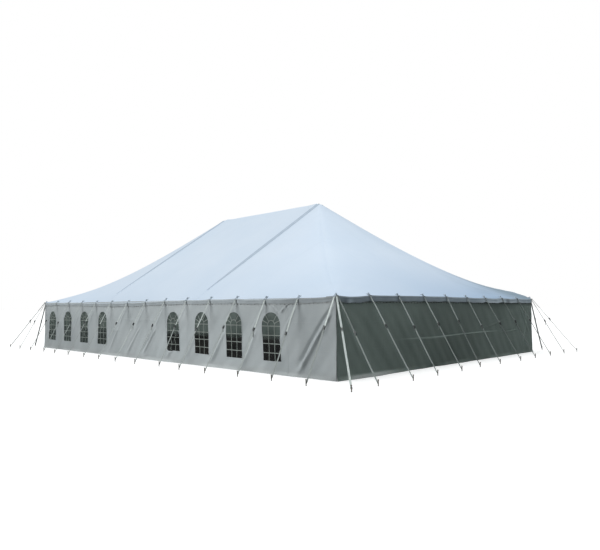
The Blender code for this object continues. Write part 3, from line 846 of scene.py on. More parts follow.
# Folds of the long walls, in metres along the wall from its middle and up: top, foot, width, height
# and how deep the hollow beside it is
LONG_WALL_FOLDS = (
    ((9.04, 1.76), (7.70, 0.02), 0.058, 0.050, 0.0),
    ((9.02, 1.94), (7.58, 0.10), 0.070, -0.046, 0.0),
    ((9.06, 1.98), (8.72, 1.10), 0.050, 0.025),
    ((8.30, 1.00), (7.90, 0.30), 0.050, 0.020),
    ((7.80, 2.00), (6.90, 0.60), 0.060, 0.016),
    ((6.78, 1.98), (7.02, 1.66), 0.024, 0.044),
    ((7.40, 1.96), (7.12, 1.70), 0.024, 0.044),
    ((7.02, 1.60), (6.90, 1.20), 0.040, 0.010),
    ((6.48, 1.98), (5.82, 1.05), 0.040, 0.018),
    ((6.20, 1.30), (5.44, 0.15), 0.055, 0.032, 0.6),
    ((5.20, 1.98), (4.60, 1.30), 0.040, 0.016),
    ((4.72, 1.20), (3.88, 0.12), 0.055, 0.040, 0.6),
    ((3.90, 1.98), (3.40, 1.30), 0.040, 0.014),
    ((3.20, 1.10), (2.56, 0.20), 0.050, 0.018),
    ((2.60, 1.98), (2.10, 1.30), 0.040, 0.016),
    ((2.30, 1.25), (1.40, 0.12), 0.050, 0.034, 0.7),
    ((1.30, 1.98), (0.62, 1.10), 0.040, 0.018),
    ((0.80, 1.20), (-0.20, 0.12), 0.050, 0.034, 0.7),
    ((0.00, 1.98), (-0.60, 1.20), 0.040, 0.018),
    ((-0.30, 1.20), (-1.30, 0.12), 0.050, 0.024),
    ((0.90, 1.42), (-1.30, 1.40), 0.020, 0.009),
    ((-1.30, 1.98), (-1.90, 1.20), 0.040, 0.018),
    ((-1.70, 0.99), (-2.60, 0.985), 0.018, 0.010),
    ((-1.90, 1.20), (-2.70, 0.15), 0.050, 0.020),
    ((-2.60, 1.98), (-3.90, 0.30), 0.050, 0.018),
    ((-3.90, 1.98), (-5.20, 0.30), 0.050, 0.020),
    ((-5.20, 1.98), (-6.40, 0.30), 0.050, 0.018),
    ((-6.50, 1.98), (-7.70, 0.30), 0.050, 0.020),
    ((-7.80, 1.98), (-8.80, 0.30), 0.050, 0.016),
)

# Folds of the end walls
END_WALL_FOLDS = (
    ((-5.98, 1.98), (-5.70, 0.30), 0.040, 0.030),
    ((-5.94, 1.90), (-5.10, 0.50), 0.050, 0.020),
    ((1.90, 1.08), (3.60, 1.34), 0.024, 0.014),
    ((2.70, 0.86), (4.80, 0.94), 0.020, 0.010),
    ((4.90, 1.90), (5.90, 0.60), 0.060, 0.022),
    ((5.80, 1.90), (5.10, 0.20), 0.050, 0.022),
)
END_CREASE_HEIGHT = 0.945
END_CREASE_DEPTH = 0.026


def end_crease(u, z):
    """The packing crease across the end walls: the cloth steps out there and falls back to its foot."""
    line = END_CREASE_HEIGHT + 0.012 * np.sin(u * 1.1) + 0.004 * u
    below = np.clip((line - z) / 0.014, 0, 1)
    back = np.clip(z / line, 0, 1)
    reach = smooth_step((u + 3.8) / 3.2) * smooth_step((3.4 - u) / 1.8)
    return END_CREASE_DEPTH * below * back * reach


def wall_out(side, u, z):
    """Where the wall cloth hangs: just inside the eave line, with folds, billow and a loose foot."""
    folds = LONG_WALL_FOLDS if side.owns_corners else END_WALL_FOLDS
    total = np.zeros(np.broadcast(u, z).shape)
    for shape in folds:
        total = total + fold(u, z, *shape)
    if not side.owns_corners:
        total = total + end_crease(u, z)
    slanted = u + side.lean * 0.78 * (WALL_TOP - z)
    bay = 2 * (side.half - POLE_INSET) / side.bays
    slow = 0.6 * np.sin(u * 0.83 + side.turn) + 0.4 * np.sin(z * 1.7 + u * 0.41)
    bands = np.sin(2 * math.pi * slanted / bay + 0.5 + 0.9 * slow)
    ripples = np.sin(2 * math.pi * slanted / (bay * 0.37) + 2.4 * slow)
    loose = smooth_step((WALL_TOP - z) / 0.7)
    total = total + loose * (0.008 * (1 + bands) + 0.003 * (1 + ripples))
    foot = np.clip((HEM_HEIGHT - z) / HEM_HEIGHT, 0, 1)
    flare = 0.016 + 0.014 * np.sin(u * 1.9 + side.turn) + 0.008 * np.sin(u * 5.3)
    if not side.owns_corners:
        flare = flare + 0.095 * loose_hem(side, u)
    return total + foot * flare - WALL_LINE - 0.004


def loose_hem(side, u):
    """Where the hem of an end wall lies turned out, near the corner."""
    return smooth_step((u + side.half - 0.2) / 0.6) * smooth_step((-3.2 - u) / 1.2)


# How far the front wall has slipped at the height of its window sills: place along it, then along and down
FRONT_SLIP = (
    (-0.5, 0.0, 0.0), (1.7, 0.05, 0.0), (3.35, 0.035, 0.022), (5.0, 0.02, 0.045), (6.6, 0.055, 0.045),
    (8.2, 0.03, 0.02), (9.0, 0.0, 0.0),
)


def wall_points(side, u, z, out):
    """Places on a hanging wall, given places on its flat cloth."""
    u, z = np.broadcast_arrays(np.asarray(u, float), np.asarray(z, float))
    hung = wall_out(side, u, z) + out
    if side.name == "front":
        stops, along, down = zip(*FRONT_SLIP)
        loose = smooth_step((WINDOW_SPRING - z) / (WINDOW_SPRING - WINDOW_SILL))
        z = z - np.interp(u, stops, down) * loose * smooth_step(z / WINDOW_SILL)
        u = u + np.interp(u, stops, along) * loose
    return side.at(u, hung, z)


def window_outline(center, grow=0.0):
    """Arched outline of a window, anticlockwise seen from outside, as places along and up the wall."""
    half = WINDOW_WIDTH / 2 + grow
    low = WINDOW_SILL - grow
    sill = [(center - half, low), (center, low), (center + half, low)]
    jamb = [(center + half, low + (WINDOW_SPRING - low) * i / 10) for i in range(1, 10)]
    angles = [math.pi * i / 20 for i in range(21)]
    arch = [(center + half * math.cos(a), WINDOW_SPRING + half * math.sin(a)) for a in angles]
    other_jamb = [(center - half, z) for _, z in reversed(jamb)]
    return sill + jamb + arch + other_jamb


def in_window(u, z, center, grow=0.0):
    half = WINDOW_WIDTH / 2 + grow
    square = (np.abs(u - center) < half) & (z > WINDOW_SILL - grow) & (z <= WINDOW_SPRING)
    arch = (z > WINDOW_SPRING) & (np.hypot(u - center, z - WINDOW_SPRING) < half)
    return square | arch


def wall_shape(side, node, low, high, windows, out):
    """A wall panel from low to high, with a mesh that runs cleanly round its windows."""
    spacing = CORNER_SPACING if node.endswith("corner") else WALL_SPACING
    u = spread(low, high, [], spacing)
    crease = () if side.owns_corners else (END_CREASE_HEIGHT - 0.02, END_CREASE_HEIGHT + 0.02)
    z = np.concatenate([[0.0, 0.022, 0.044, 0.066, 0.088], spread(0.13, WALL_TOP, crease, spacing)])
    if crease:
        z = np.unique(np.concatenate([z, np.linspace(*crease, 9)]))
    if not windows:
        return grid(wall_points(side, u[None, :], z[:, None], out))
    grid_u, grid_z = [v.ravel() for v in np.meshgrid(u, z)]
    keep = ~np.any([in_window(grid_u, grid_z, center, 0.025) for center in windows], axis=0)
    flat = list(zip(grid_u[keep], grid_z[keep]))
    edges = []
    for center in windows:
        outline = window_outline(center)
        edges += [(len(flat) + i, len(flat) + (i + 1) % len(outline)) for i in range(len(outline))]
        flat += outline
    places, triangles = triangulated(flat, edges, 0)
    middle_u, middle_z = places[triangles].mean(1).T
    open_here = np.any([in_window(middle_u, middle_z, center) for center in windows], axis=0)
    return wall_points(side, *places.T, out), triangles[~open_here].tolist()


def triangulated(flat, edges, kept):
    """Points and triangles over flat points. They keep the edges, and stay within them where kept is 1."""
    places, _, triangles, *_ = delaunay_2d_cdt([Vector(p) for p in flat], edges, [], kept, 1e-6)
    return np.array([tuple(p) for p in places]), np.array([tuple(t) for t in triangles])


def store_tones(piece, tones):
    """Stores the tone of a piece's cloth at each point."""
    attribute = piece.data.attributes.new("cloth_tone", "FLOAT_COLOR", "POINT")
    colors = np.ones((len(piece.data.vertices), 4), np.float32)
    colors[:, :3] = tones
    attribute.data.foreach_set("color", colors.ravel())


def give_tone(piece, side, stops, tint=(1.0, 1.0, 1.0), share=1.0, heights=(0.6, 1.6)):
    """Stores the painted light and shade of this piece's cloth, as it changes along the side and between two
    heights.
    """
    points = read(piece.data.vertices, "co", 3)
    u, z = points @ side.along, points[:, 2]
    places, upper, lower = zip(*stops)
    high_up = smooth_step((z - heights[0]) / (heights[1] - heights[0]))
    tone = share * (np.interp(u, places, upper) * high_up + np.interp(u, places, lower) * (1 - high_up))
    tones = tone[:, None] * np.array(tint)
    # Painted light: the turned-out hem near an end wall's corner is brightened to a neutral full tone, as if
    # it caught the light
    if not side.owns_corners:
        hem = loose_hem(side, u) * smooth_step((0.10 - z) / 0.03)
        tones += hem[:, None] * (0.98 - tones)
    store_tones(piece, tones)


def strip_on_wall(side, path, width, out):
    """A flat strip along a path of the wall."""
    path = np.array(path)
    run = unit(np.gradient(path, axis=0))
    beside = np.stack([run[:, 1], -run[:, 0]], -1) * width / 2
    both = np.stack([path + beside, path - beside], 1)
    return wall_points(side, both[..., 0], both[..., 1], out)


def filled(outline, spacing):
    """Points and triangles that fill an outline, with a grid inside it."""
    edge = np.array(outline)
    (low_u, low_z), (high_u, high_z) = edge.min(0), edge.max(0)
    places = np.meshgrid(spread(low_u, high_u, [], spacing), spread(low_z, high_z, [], spacing))
    middle = edge.mean(0)
    inner = [p for p in np.stack(places, -1).reshape(-1, 2) if inside(middle + (p - middle) * 1.06, edge)]
    return triangulated([*outline, *inner], [(i, (i + 1) % len(edge)) for i in range(len(edge))], 1)


def inside(place, edge):
    """Whether a place lies inside an outline, by counting the edges to its right."""
    following = np.roll(edge, -1, axis=0)
    crosses = (edge[:, 1] > place[1]) != (following[:, 1] > place[1])
    rise = np.where(crosses, following[:, 1] - edge[:, 1], 1.0)
    at = edge[:, 0] + (place[1] - edge[:, 1]) / rise * (following[:, 0] - edge[:, 0])
    return np.count_nonzero(crosses & (at > place[0])) % 2 == 1


def window_bar_paths(center):
    """The bars of one window: three columns, level bars, and a fan in the arch."""
    half = WINDOW_WIDTH / 2
    column = WINDOW_WIDTH / 6
    paths = []
    for height in BAR_HEIGHTS:
        paths.append([(center + half * (2 * i / 12 - 1), height) for i in range(13)])
    spring = WINDOW_SPRING
    for sign in (-1, 1):
        u = center + sign * column
        paths.append([(u, WINDOW_SILL + (spring - WINDOW_SILL) * i / 12) for i in range(13)])
        reach = [FAN_RADIUS + (half - FAN_RADIUS) * i / 4 for i in range(5)]
        for degrees in (22, 52):
            angle = math.radians(degrees)
            paths.append([(center + sign * r * math.cos(angle), spring + r * math.sin(angle)) for r in reach])
    arc = [math.pi * i / 12 for i in range(13)]
    paths.append([(center + FAN_RADIUS * math.cos(a), spring + FAN_RADIUS * math.sin(a)) for a in arc])
    return paths


def build_windows(side, number, windows, out):
    """The clear sheets, their bars and the welded borders of one group of windows."""
    group = f"{side.name}_{number}"
    sheets, bars, borders = [], [], []
    for center in windows:
        places, triangles = filled(window_outline(center, 0.03), 0.06)
        sheets.append((wall_points(side, *places.T, out - 0.005), triangles))
        paths = window_bar_paths(center)
        bars += [grid(strip_on_wall(side, path, BAR_WIDTH, out - 0.0015)) for path in paths]
        outline = window_outline(center, 0.012)
        border = strip_on_wall(side, [*outline, outline[0]], 0.032, out + 0.0025)
        border[-1] = border[0]
        borders.append(grid(border))
    panes = cloth_piece(f"clear_windows_{group}", merged(sheets), CLOTH["window"], THIN_SHEET)
    dress(panes, "window_sheet", f"window_panes_{group}")
    bars = cloth_piece(f"window_bars_{group}", merged(bars), CLOTH["bars"], SMALL_CLOTH)
    dress(bars, "wall_cloth")
    border = cloth_piece(f"window_borders_{group}", merged(borders), CLOTH["wall"], SMALL_CLOTH)
    give_tone(border, side, WALL_PAINTED_LIGHT[side.name], LONG_TINT, 1.03)
    lay_flat(border, hem_map(side))
    dress(border, "wall_cloth")
    return [panes, bars, border]


def build_wall_panel(side, node, windows=(), out=0.0, lap=0.0):
    """One wall panel with its hem. A panel with windows laps over its plain neighbours."""
    low, high = side.span(node)
    low = max(low - lap, -side.half + WALL_LINE)
    high = min(high + lap, side.half - WALL_LINE)
    shape = wall_shape(side, node, low, high, windows, out)
    panel = cloth_piece(f"hung_{node}", shape, CLOTH["wall"], WALL_CLOTH, 80)
    move_points(panel, lambda p: np.maximum(p, (-np.inf, -np.inf, 0.0)))
    give_tone(panel, side, WALL_PAINTED_LIGHT[side.name], LONG_TINT if side.owns_corners else END_SHADE_TINT)
    lay_flat(panel, hem_map(side))
    dress(panel, "wall_cloth", node)


def build_walls():
    steps = [i - (WINDOWS_IN_GROUP - 1) / 2 for i in range(WINDOWS_IN_GROUP)]
    for side in SIDES.values():
        if not side.owns_corners:
            build_wall_panel(side, f"wall_{side.name}")
            continue
        for name in ("corner", "windows_1", "middle", "windows_2"):
            node = f"wall_{side.name}_{name}"
            if not name.startswith("windows"):
                build_wall_panel(side, node)
                continue
            number = name[-1]
            middle = sum(side.span(f"window_panes_{side.name}_{number}")) / 2
            windows = [middle + WINDOW_SPACING * step for step in steps]
            pieces = build_windows(side, number, windows, WINDOW_PANEL_OUT)
            build_wall_panel(side, node, windows, WINDOW_PANEL_OUT, PANEL_LAP)


def repeat_tree():
    """Nodes that put one small part at every point, turned as the point says, with a fixed random tilt."""
    tree = bpy.data.node_groups.new("repeat part", "GeometryNodeTree")
    tree.interface.new_socket("Geometry", in_out="OUTPUT", socket_type="NodeSocketGeometry")
    names = ("Geometry", "Part", "Size", "Tilt", "Finish")
    for name, kind in zip(names, ("Geometry", "Object", "Float", "Float", "Material")):
        tree.interface.new_socket(name, in_out="INPUT", socket_type=f"NodeSocket{kind}")
    points, part, size, tilt, finish = [Value(tree, "NodeGroupInput", {}, name) for name in names]
    vector = {"data_type": "FLOAT_VECTOR"}
    shape = Value(tree, "GeometryNodeObjectInfo", {"Object": part}, "Geometry")
    turn = Value(tree, "GeometryNodeInputNamedAttribute", {"Name": "turn"}, "Attribute", **vector)
    limits = {"Min": (-1, -1, -1), "Max": (1, 1, 1), "Seed": 7}
    chance = Value(tree, "FunctionNodeRandomValue", limits, "Value", **vector)
    lean = Value(tree, "ShaderNodeVectorMath", {0: chance, "Scale": tilt}, operation="SCALE")
    total = Value(tree, "ShaderNodeVectorMath", {0: turn, 1: lean}, operation="ADD")
    values = {"Points": points, "Instance": shape, "Rotation": total, "Scale": size}
    put = Value(tree, "GeometryNodeInstanceOnPoints", values)
    whole = Value(tree, "GeometryNodeRealizeInstances", {"Geometry": put})
    painted = Value(tree, "GeometryNodeSetMaterial", {"Geometry": whole, "Material": finish})
    fill_inputs(tree, tree.nodes.new("NodeGroupOutput"), {"Geometry": painted})
    return tree


REPEAT = repeat_tree()


def repeated(name, part, places, turns, material, size=1.0, tilt=0.0):
    """A piece with the part at every place. The turns are angles about x, y and z."""
    mesh = bpy.data.meshes.new(name)
    mesh.from_pydata(np.asarray(places, float).tolist(), [], [])
    turn = mesh.attributes.new("turn", "FLOAT_VECTOR", "POINT")
    turn.data.foreach_set("vector", np.asarray(turns, np.float32).ravel())
    piece = add_object(name, mesh)
    modifier = piece.modifiers.new("repeat", "NODES")
    modifier.node_group = REPEAT
    given = {"Part": part, "Size": size, "Tilt": tilt, "Finish": material}
    for socket in REPEAT.interface.items_tree:
        if socket.in_out == "INPUT" and socket.name in given:
            modifier[socket.identifier] = given[socket.name]
    return settle(piece, 40)


def put_away(*parts):
    for part in parts:
        bpy.data.objects.remove(part, do_unlink=True)


def build_center_poles():
    """Centre poles with a foot plate, a bolted sleeve, and the plate and collar at each peak."""
    low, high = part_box("center_pole_right")
    plate = (high.x - low.x) / 2
    bolt = plate - 0.03
    mast = [
        (0.075, 0.012), (0.075, 0.018), (SLEEVE_RADIUS, 0.03), (MAST_RADIUS, 0.05), (MAST_RADIUS, 2.75),
        (SLEEVE_RADIUS, 2.752), (SLEEVE_RADIUS, 3.148), (MAST_RADIUS, 3.15),
        (MAST_RADIUS, PEAK_HEIGHT - 0.120), (0.048, PEAK_HEIGHT - 0.101), (0.015, PEAK_HEIGHT - 0.101),
        (0.015, CAP_TOP - 0.006), (0.009, CAP_TOP - 0.001),
    ]
    ring = [
        (0.020, PEAK_HEIGHT - 0.100), (0.094, PEAK_HEIGHT - 0.095), (0.098, PEAK_HEIGHT - 0.088),
        (0.096, PEAK_HEIGHT - 0.080), (0.028, PEAK_HEIGHT - 0.072), (0.028, CAP_TOP - 0.016),
        (0.036, CAP_TOP - 0.014), (0.036, CAP_TOP - 0.004), (0.018, CAP_TOP),
    ]
    for end, sign in ENDS:
        x = sign * PEAK_X
        shapes = [turned(mast, 32, (x, 0.0)), block((x - plate, -plate, 0.0), (x + plate, plate, 0.0115))]
        for height in (2.83, 3.07):
            for along, across in ((0.072, 0.0), (0.0, 0.072)):
                shapes.append(tube([(x + s * along, s * across, height) for s in (-1, 0, 1)], 0.008))
        for hold in ((x + i * bolt, j * bolt) for i in (-1, 1) for j in (-1, 1)):
            shapes.append(turned([(0.012, 0.0115), (0.012, 0.02), (0.008, 0.024)], 6, hold))
        pole = joined(f"mast_{end}", shapes, METAL["pole"])
        dress(pole, "pole_metal", f"center_pole_{end}")
        cap = joined(f"peak_plate_and_collar_{end}", [turned(ring, 32, (x, 0.0))], METAL["ratchet"])
        dress(cap, "pole_metal", f"peak_plate_{end}")
        build_peak_cloth(end, x)


def build_peak_cloth(end, x):
    """The pleated boot that closes the hole round the pin, and the doubled cloth with its stitched edge."""

    def rings(radii, steps, pleat):
        angles = np.linspace(0, 2 * math.pi, steps)
        reach = np.array(radii)[:, None] * (1 + pleat * np.cos(angles * 12))
        return x + reach * np.cos(angles), reach * np.sin(angles)

    radii = np.array([0.033, 0.045, 0.060, 0.080, 0.100, 0.118])
    boot_x, boot_y = rings(radii, 49, 0.03)
    rim = roof_height(boot_x[-1], boot_y[-1]) + 0.003
    share = ((radii[-1] - radii) / (radii[-1] - radii[0]))[:, None]
    boot = np.stack([boot_x, boot_y, rim + (CAP_TOP - 0.015 - rim) * share**1.2], -1)
    lift = np.array([0.003, 0.003, 0.003, 0.003, 0.003, 0.0005])[:, None]
    patch = over_roof(*rings((0.112, 0.2, 0.3, 0.4, PATCH_RADIUS - 0.005, PATCH_RADIUS), 65, 0.0), lift)
    pieces = []
    for name, points in (("peak_boot", boot), ("peak_patch", patch)):
        pieces.append(cloth_piece(f"{name}_{end}", grid(points[::-1]), CLOTH["canopy"], THIN_SHEET))
        lay_flat(pieces[-1], plain_map)
        dress(pieces[-1], "canopy_cloth")


def build_side_poles():
    """Side poles with a foot and a pin, and the collar and webbing tab that hold the canopy at each pin."""
    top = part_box("side_poles_front")[1].z
    shoulder = top - 0.055
    profile = [
        (0.034, 0.0), (0.034, 0.006), (0.0215, 0.010), (SIDE_POLE_RADIUS, 0.02),
        (SIDE_POLE_RADIUS, shoulder - 0.01), (0.017, shoulder), (0.009, shoulder), (0.009, top - 0.006),
        (0.005, top),
    ]
    cup = [(0.040, 0.0), (0.040, 0.007), (0.030, 0.020), (0.024, 0.030), (0.022, 0.046), (0.014, 0.052)]
    pole = joined("side pole", [turned(profile, 14)], METAL["pole"])
    collar = joined("pin collar", [turned(cup, 14)], CLOTH["tab"])
    for side in SIDES.values():
        u = np.array(side.poles() if side.owns_corners else side.poles()[1:-1])
        places = side.at(u, -POLE_INSET, 0.0)
        turns = [(0, 0, side.turn)] * len(u)
        poles = repeated(f"poles_{side.name}", pole, places, turns, METAL["pole"])
        move_points(poles, follow_eave)
        dress(poles, "pole_metal", f"side_poles_{side.name}")
        places[:, 2] = roof_height(places[:, 0], places[:, 1]) + 0.001
        collars = repeated(f"pin_collars_{side.name}", collar, places, turns, CLOTH["tab"], tilt=0.06)
        dress(collars, "strap_webbing")
        build_eave_tabs(side, u)
    put_away(pole, collar)


def build_eave_tabs(side, places):
    """Webbing tabs sewn to the canopy from each pin over the eave to the strap's ring."""
    out = np.array([-0.115, -0.09, -0.06, -0.03, -0.012, -0.002, 0.0155, 0.0175, 0.0185])[:, None]
    drop = np.array([0.0, 0.0, 0.0, 0.0, 0.0, 0.0, 0.004, 0.016, 0.030])[:, None]
    half_width = np.linspace(0.034, 0.062, len(out))[:, None]
    shapes = []
    for place in places:
        u = np.clip(place + half_width * np.array([-1.0, 1.0]), -side.half, side.half)
        on_roof = side.at(u, np.minimum(out, 0.0), 0.0)
        height = roof_height(on_roof[..., 0], on_roof[..., 1])
        shapes.append(grid(side.at(u, out, height + 0.006 - drop)[::-1]))
    tabs = cloth_piece(f"eave_tabs_{side.name}", merged(shapes), CLOTH["tab"], WEBBING)
    dress(tabs, "strap_webbing")


class GuyLine:
    """One guy line: where it leaves the eave, the way it runs, and where its ratchet sits."""

    def __init__(self, side, u, reach, turn, ratchet, tones, chance):
        self.turn = side.turn + turn
        self.away = np.array([math.sin(self.turn), -math.cos(self.turn), 0.0])
        self.across = np.array([math.cos(self.turn), math.sin(self.turn), 0.0])
        top = side.at(u, CLEAR_OF_VALANCE, 0.0)
        edge = eave_points(side, np.clip(u, -side.half, side.half))
        self.top = top + UP * (float(edge[2]) - STRAP_DROP)
        self.foot = top + self.away * reach
        self.foot[2] = STRAP_FOOT
        self.run = self.foot - self.top
        self.down = unit(self.run)
        self.ratchet = ratchet
        self.tail = chance.uniform(0.08, 0.26)
        self.bow = self.across * chance.uniform(-0.012, 0.012)
        upper, lower = tones
        self.tones = (upper, lower, lower, upper)

    def place(self, share):
        return self.top + self.run * share

    def tilt(self):
        """Angles that stand a part's z along the strap and its y against the way out."""
        back = -np.cross(self.across, -self.down)
        return tuple(Matrix((self.across, back, -self.down)).transposed().to_euler())

    def strap(self):
        """The upper and lower strap, the loop round the stake and the loose tail."""
        upper_end = self.ratchet + 0.01
        upper = [self.top - self.away * 0.008 + UP * 0.024, self.top - self.away * 0.001 + UP * 0.014]
        for share in np.linspace(0, upper_end, 9):
            upper.append(self.place(share) + self.bow * math.sin(math.pi * share / upper_end))
        sag = np.sin(math.pi * np.linspace(0, 1, 13))
        low = np.linspace(self.ratchet + 0.03, 1.0, 13)
        lower = [self.place(s) - UP * 0.006 * w - self.away * 0.004 * w for s, w in zip(low, sag)]
        around = []
        for angle in np.radians(-100 + 20 * np.arange(11)):
            swing = self.away * (1 - math.cos(angle)) + UP * 1.2 * math.sin(angle)
            around.append(self.foot + LOOP_RADIUS * swing)
        start = self.place(self.ratchet) - np.cross(self.across, self.down) * 0.010
        tail = []
        for t in np.linspace(0, 1, 8):
            swing = self.away * (0.035 * math.sin(t * 2.4)) + self.bow * t * 2
            tail.append(start + swing - UP * self.tail * t)
        whole = [ribbon(path, self.across, STRAP_WIDTH, WEBBING) for path in (upper, lower, around)]
        return whole + [ribbon(tail, self.across, STRAP_WIDTH * 0.9, 0.002)]


def guy_lines_of(side, chance):
    """The guy lines of a side. The two sides that the photograph shows have their own small differences."""
    places = [(u, side.reach, 0.0) for u in side.poles()]
    if side.owns_corners:
        places += [(sign * (side.half + 0.027), CORNER_REACH, sign * CORNER_TURN) for sign in (1, -1)]
    changes = {"front": FRONT_LINES, "right": RIGHT_LINES}.get(side.name)
    if changes is None:
        ranges = ((-0.06, 0.06), (0.36, 0.44), (0.7, 0.95), (0.6, 0.85))
        changes = [[chance.uniform(*limits) for limits in ranges] for _ in places]
    lines = []
    for (u, reach, turn), (further, ratchet, *tones) in zip(places, changes):
        lines.append(GuyLine(side, u, reach + further, turn, ratchet, tones, chance))
    return lines


def ratchet_part():
    """A strap ratchet: two side plates, a spool, a handle with a grip, and the base bar."""
    shapes = []
    for sign in (-1, 1):
        x = sign * 0.029
        shapes.append(block((x - 0.0015, -0.016, -0.10), (x + 0.0015, 0.018, 0.055)))
        shapes.append(block((x * 1.12 - 0.0015, -0.042, -0.055), (x * 1.12 + 0.0015, -0.012, 0.075)))
    shapes.append(tube([(-0.037, -0.012, 0.03), (0, -0.012, 0.03), (0.037, -0.012, 0.03)], 0.012, 12))
    shapes.append(tube([(-0.037, 0.0, -0.09), (0, 0.0, -0.09), (0.037, 0.0, -0.09)], 0.006, 8))
    shapes.append(block((-0.033, -0.048, -0.072), (0.033, -0.036, -0.045)))
    shapes.append(block((-0.026, -0.030, -0.020), (0.026, -0.026, 0.005)))
    angles = [2 * math.pi * i / 20 for i in range(20)]
    for sign in (-1, 1):
        teeth = [(sign * 0.034, -0.012, 0.03)]
        for i, angle in enumerate(angles):
            radius = 0.024 if i % 2 else 0.019
            teeth.append((sign * 0.034, -0.012 + radius * math.cos(angle), 0.03 + radius * math.sin(angle)))
        faces = [(0, 1 + i, 1 + (i + 1) % 20)[::sign] for i in range(20)]
        shapes.append((teeth, faces))
    return joined("ratchet", shapes, METAL["ratchet"])


def build_guy_lines():
    """Straps from each pole to its stake, with ratchets, loose tails, rings and the eave's webbing."""
    ratchet = ratchet_part()
    head = STAKE_HEIGHT - 0.022
    profile = [
        (STAKE_RADIUS, 0.0), (STAKE_RADIUS, head), (0.019, head + 0.004), (0.021, head + 0.014),
        (0.015, head + 0.020), (0.004, head + 0.022),
    ]
    stake = joined("stake", [turned(profile, 12)], METAL["stake"])
    ring_path = [(0.028 * math.cos(a), 0.0, 0.018 * math.sin(a)) for a in np.linspace(0, 2 * math.pi, 17)]
    ring = joined("strap ring", [tube(ring_path, 0.0035, 6)], METAL["collar"])
    for side in SIDES.values():
        name = side.name
        lines = guy_lines_of(side, random.Random(f"straps of {name}"))
        shapes = [shape for line in lines for shape in line.strap()]
        tones = [tone for line in lines for tone in line.tones]
        tones = np.concatenate([[tone] * (shape[0].size // 3) for shape, tone in zip(shapes, tones)])
        straps = joined(f"straps_{name}", shapes, CLOTH["strap"])
        store_tones(straps, tones[:, None])
        lay_flat(straps, hem_map(side))
        dress(straps, "strap_webbing", f"guy_lines_{name}")
        tilts = [line.tilt() for line in lines]
        flat_turns = [(0, 0, line.turn) for line in lines]
        places = [line.place(line.ratchet + 0.015) for line in lines]
        ratchets = repeated(f"ratchets_{name}", ratchet, places, tilts, METAL["ratchet"], RATCHET_SIZE, 0.04)
        dress(ratchets, "pole_metal")
        feet = [line.foot * (1, 1, 0) + line.away * LOOP_RADIUS for line in lines]
        stakes = repeated(f"stakes_{name}", stake, feet, flat_turns, METAL["stake"], tilt=0.03)
        dress(stakes, "pole_metal")
        build_eave_webbing(side)
        places = [line.top + UP * 0.004 + line.away * 0.005 for line in lines]
        turns = [(0.5, 0, line.turn) for line in lines]
        dress(repeated(f"strap_rings_{name}", ring, places, turns, METAL["collar"]), "pole_metal")
    put_away(ratchet, stake, ring)


def build_eave_webbing(side):
    """The webbing sewn along the eave outside the valance."""
    reach = side.half + 0.012
    u = spread(-reach, reach, side.poles(), 0.06)
    on_eave = np.clip(u, -side.half, side.half)
    drop = np.linspace(0.05, 0.36, 4)[::-1][:, None]
    z = eave_points(side, on_eave)[:, 2] - drop * VALANCE_DROP
    points = side.at(u, valance_out(side, on_eave, drop) + 0.0065, z)
    band = cloth_piece(f"eave_webbing_{side.name}", grid(points), CLOTH["valance"], WEBBING)
    tone_valance(band, side)
    dress(band, "strap_webbing")


def curtain_height(side, u):
    """Height of the rope that carries a wall. It hangs at the foot of the valance."""
    edge = side.at(u, 0.0, 0.0)
    long_lift, end_lift = eave_lift(edge[:, 0], edge[:, 1])
    lift = long_lift if side.owns_corners else end_lift - 0.03
    return EAVE_HEIGHT - VALANCE_DROP - ROPE_DROP + 0.006 * np.sin(u * 3.1) + lift


def build_curtain_line(side):
    """The rope under the eave that carries the wall, and the clips along it."""
    u = spread(-side.half + 0.06, side.half - 0.06, side.poles(), 0.2)
    z = curtain_height(side, u) + 0.010
    path = side.at(u, wall_out(side, u, z) + 0.009, z)
    rope = joined(f"curtain_rope_{side.name}", [tube(path, ROPE_RADIUS, 6)], CLOTH["rope"])
    dress(rope, "wall_cloth")
    hook_path = (
        (0.0, -0.004, 0.020), (0.008, -0.008, 0.012), (0.008, -0.008, -0.004), (0.0, -0.006, -0.018),
        (-0.008, -0.008, -0.010), (-0.007, -0.008, 0.004),
    )
    hook = joined("curtain clip", [tube(hook_path, 0.0045, 6)], METAL["clip"])
    u = np.arange(-side.half + 0.15, side.half - 0.1, CLIP_SPACING)
    z = curtain_height(side, u)
    places = side.at(u, wall_out(side, u, z) + 0.010, z)
    turns = [(0, 0, side.turn)] * len(u)
    clips = repeated(f"curtain_clips_{side.name}", hook, places, turns, METAL["clip"], 0.8, 0.25)
    dress(clips, "pole_metal")
    put_away(hook)


def part_sight(tree, seen, unseen, output):
    """Shows the camera one shader, and lights the scene with the other."""
    sight = Value(tree, "ShaderNodeLightPath", {}, "Is Camera Ray")
    both = Value(tree, "ShaderNodeMixShader", {0: sight})
    tree.links.new(unseen, both.node.inputs[1])
    tree.links.new(seen, both.node.inputs[2])
    tree.links.new(both.socket, tree.nodes[output].inputs["Surface"])


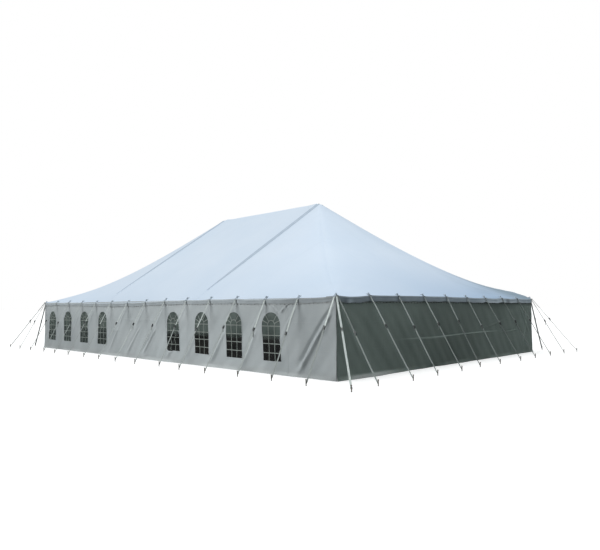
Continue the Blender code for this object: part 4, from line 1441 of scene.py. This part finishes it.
def build_floor():
    """A plain pale floor that looks white to the camera and throws little light back on the walls."""
    size = 400.0
    corners = [(x * size, y * size, -0.002) for x, y in ((-1, -1), (1, -1), (1, 1), (-1, 1))]
    look = Finish("pale floor", roughness=1.0, specular=0.0)
    look.set({"Base Color": (0.8, 0.8, 0.8), "Emission Color": (1, 1, 1), "Emission Strength": 0.4})
    pale = look.tree.nodes["Principled BSDF"].outputs[0]
    dim = look.add("BsdfDiffuse", {"Color": (0.05, 0.05, 0.05)})
    part_sight(look.tree, pale, dim.socket, "Material Output")
    mesh_piece("floor", (corners, [(0, 1, 2, 3)]), look.material)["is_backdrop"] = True


def sun(name, toward_light, strength, softness, only=None):
    """A distant soft light. toward_light points at it, and only is the collection that it lights."""
    data = bpy.data.lights.new(name, "SUN")
    data.energy = strength
    data.angle = math.radians(softness)
    light = add_object(name, data)
    light.rotation_euler = Vector(toward_light).to_track_quat("Z", "Y").to_euler()
    if only is not None:
        light.light_linking.receiver_collection = only
    return light


def build_lights():
    """Soft studio light: pale all round, a broad light above, and one before each side that is seen lit."""
    upright = bpy.data.collections.new("upright cloth and straps")
    roof = bpy.data.collections.new("roof cloth")
    roof_pieces = ("canopy_", "rain_flap", "peak_patch", "seam_lacing")
    roof_pieces += ("hanging_valance_right", "eave_webbing_right")
    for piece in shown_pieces():
        (roof if piece.name.startswith(roof_pieces) else upright).objects.link(piece)
    sun("overhead light", (-0.02, -0.16, 1.0), 2.18, 60)
    sun("front light", (-0.48, -1.0, 0.42), 2.75, 50, upright)
    sun("back fill", (-0.75, 0.75, 0.30), 1.3, 60, upright)
    sun("cool end light", (1.0, 0.1, 0.5), 0.30, 60, roof).data.color = (0.53, 0.73, 1.0)
    world = bpy.data.worlds.new("studio")
    world.use_nodes = True
    bpy.context.scene.world = world
    tree = world.node_tree
    pale = tree.nodes["Background"]
    fill_inputs(tree, pale, {"Color": (0.90, 0.97, 0.98), "Strength": 0.31})
    white = Value(tree, "ShaderNodeBackground", {"Color": (1, 1, 1), "Strength": 1.0})
    part_sight(tree, white.socket, pale.outputs[0], "World Output")


def build_camera():
    """The photograph's view: from in front of the near corner, at a person's height."""
    yaw, pitch, roll = (math.radians(v) for v in (44.22, 3.24, -0.32))
    forward = Vector((-math.sin(yaw) * math.cos(pitch), math.cos(yaw) * math.cos(pitch), math.sin(pitch)))
    level = Vector((math.cos(yaw), math.sin(yaw), 0.0))
    upward = level.cross(forward)
    right = math.cos(roll) * level + math.sin(roll) * upward
    above = -math.sin(roll) * level + math.cos(roll) * upward
    camera = add_object("camera", bpy.data.cameras.new("camera"))
    camera.data.sensor_width = 36.0
    camera.data.lens = 33.552
    camera.data.clip_end = 1000.0
    turn = Matrix((right, above, -forward)).transposed().to_4x4()
    camera.matrix_world = Matrix.Translation((18.29, -16.79, 1.87)) @ turn
    bpy.context.scene.camera = camera
    bpy.context.scene.view_settings.view_transform = "Standard"


build_camera()
build_canopy()
build_seams()
build_walls()
build_center_poles()
build_side_poles()
for eave_side in SIDES.values():
    build_valance(eave_side)
    build_curtain_line(eave_side)
build_guy_lines()
build_floor()
build_lights()
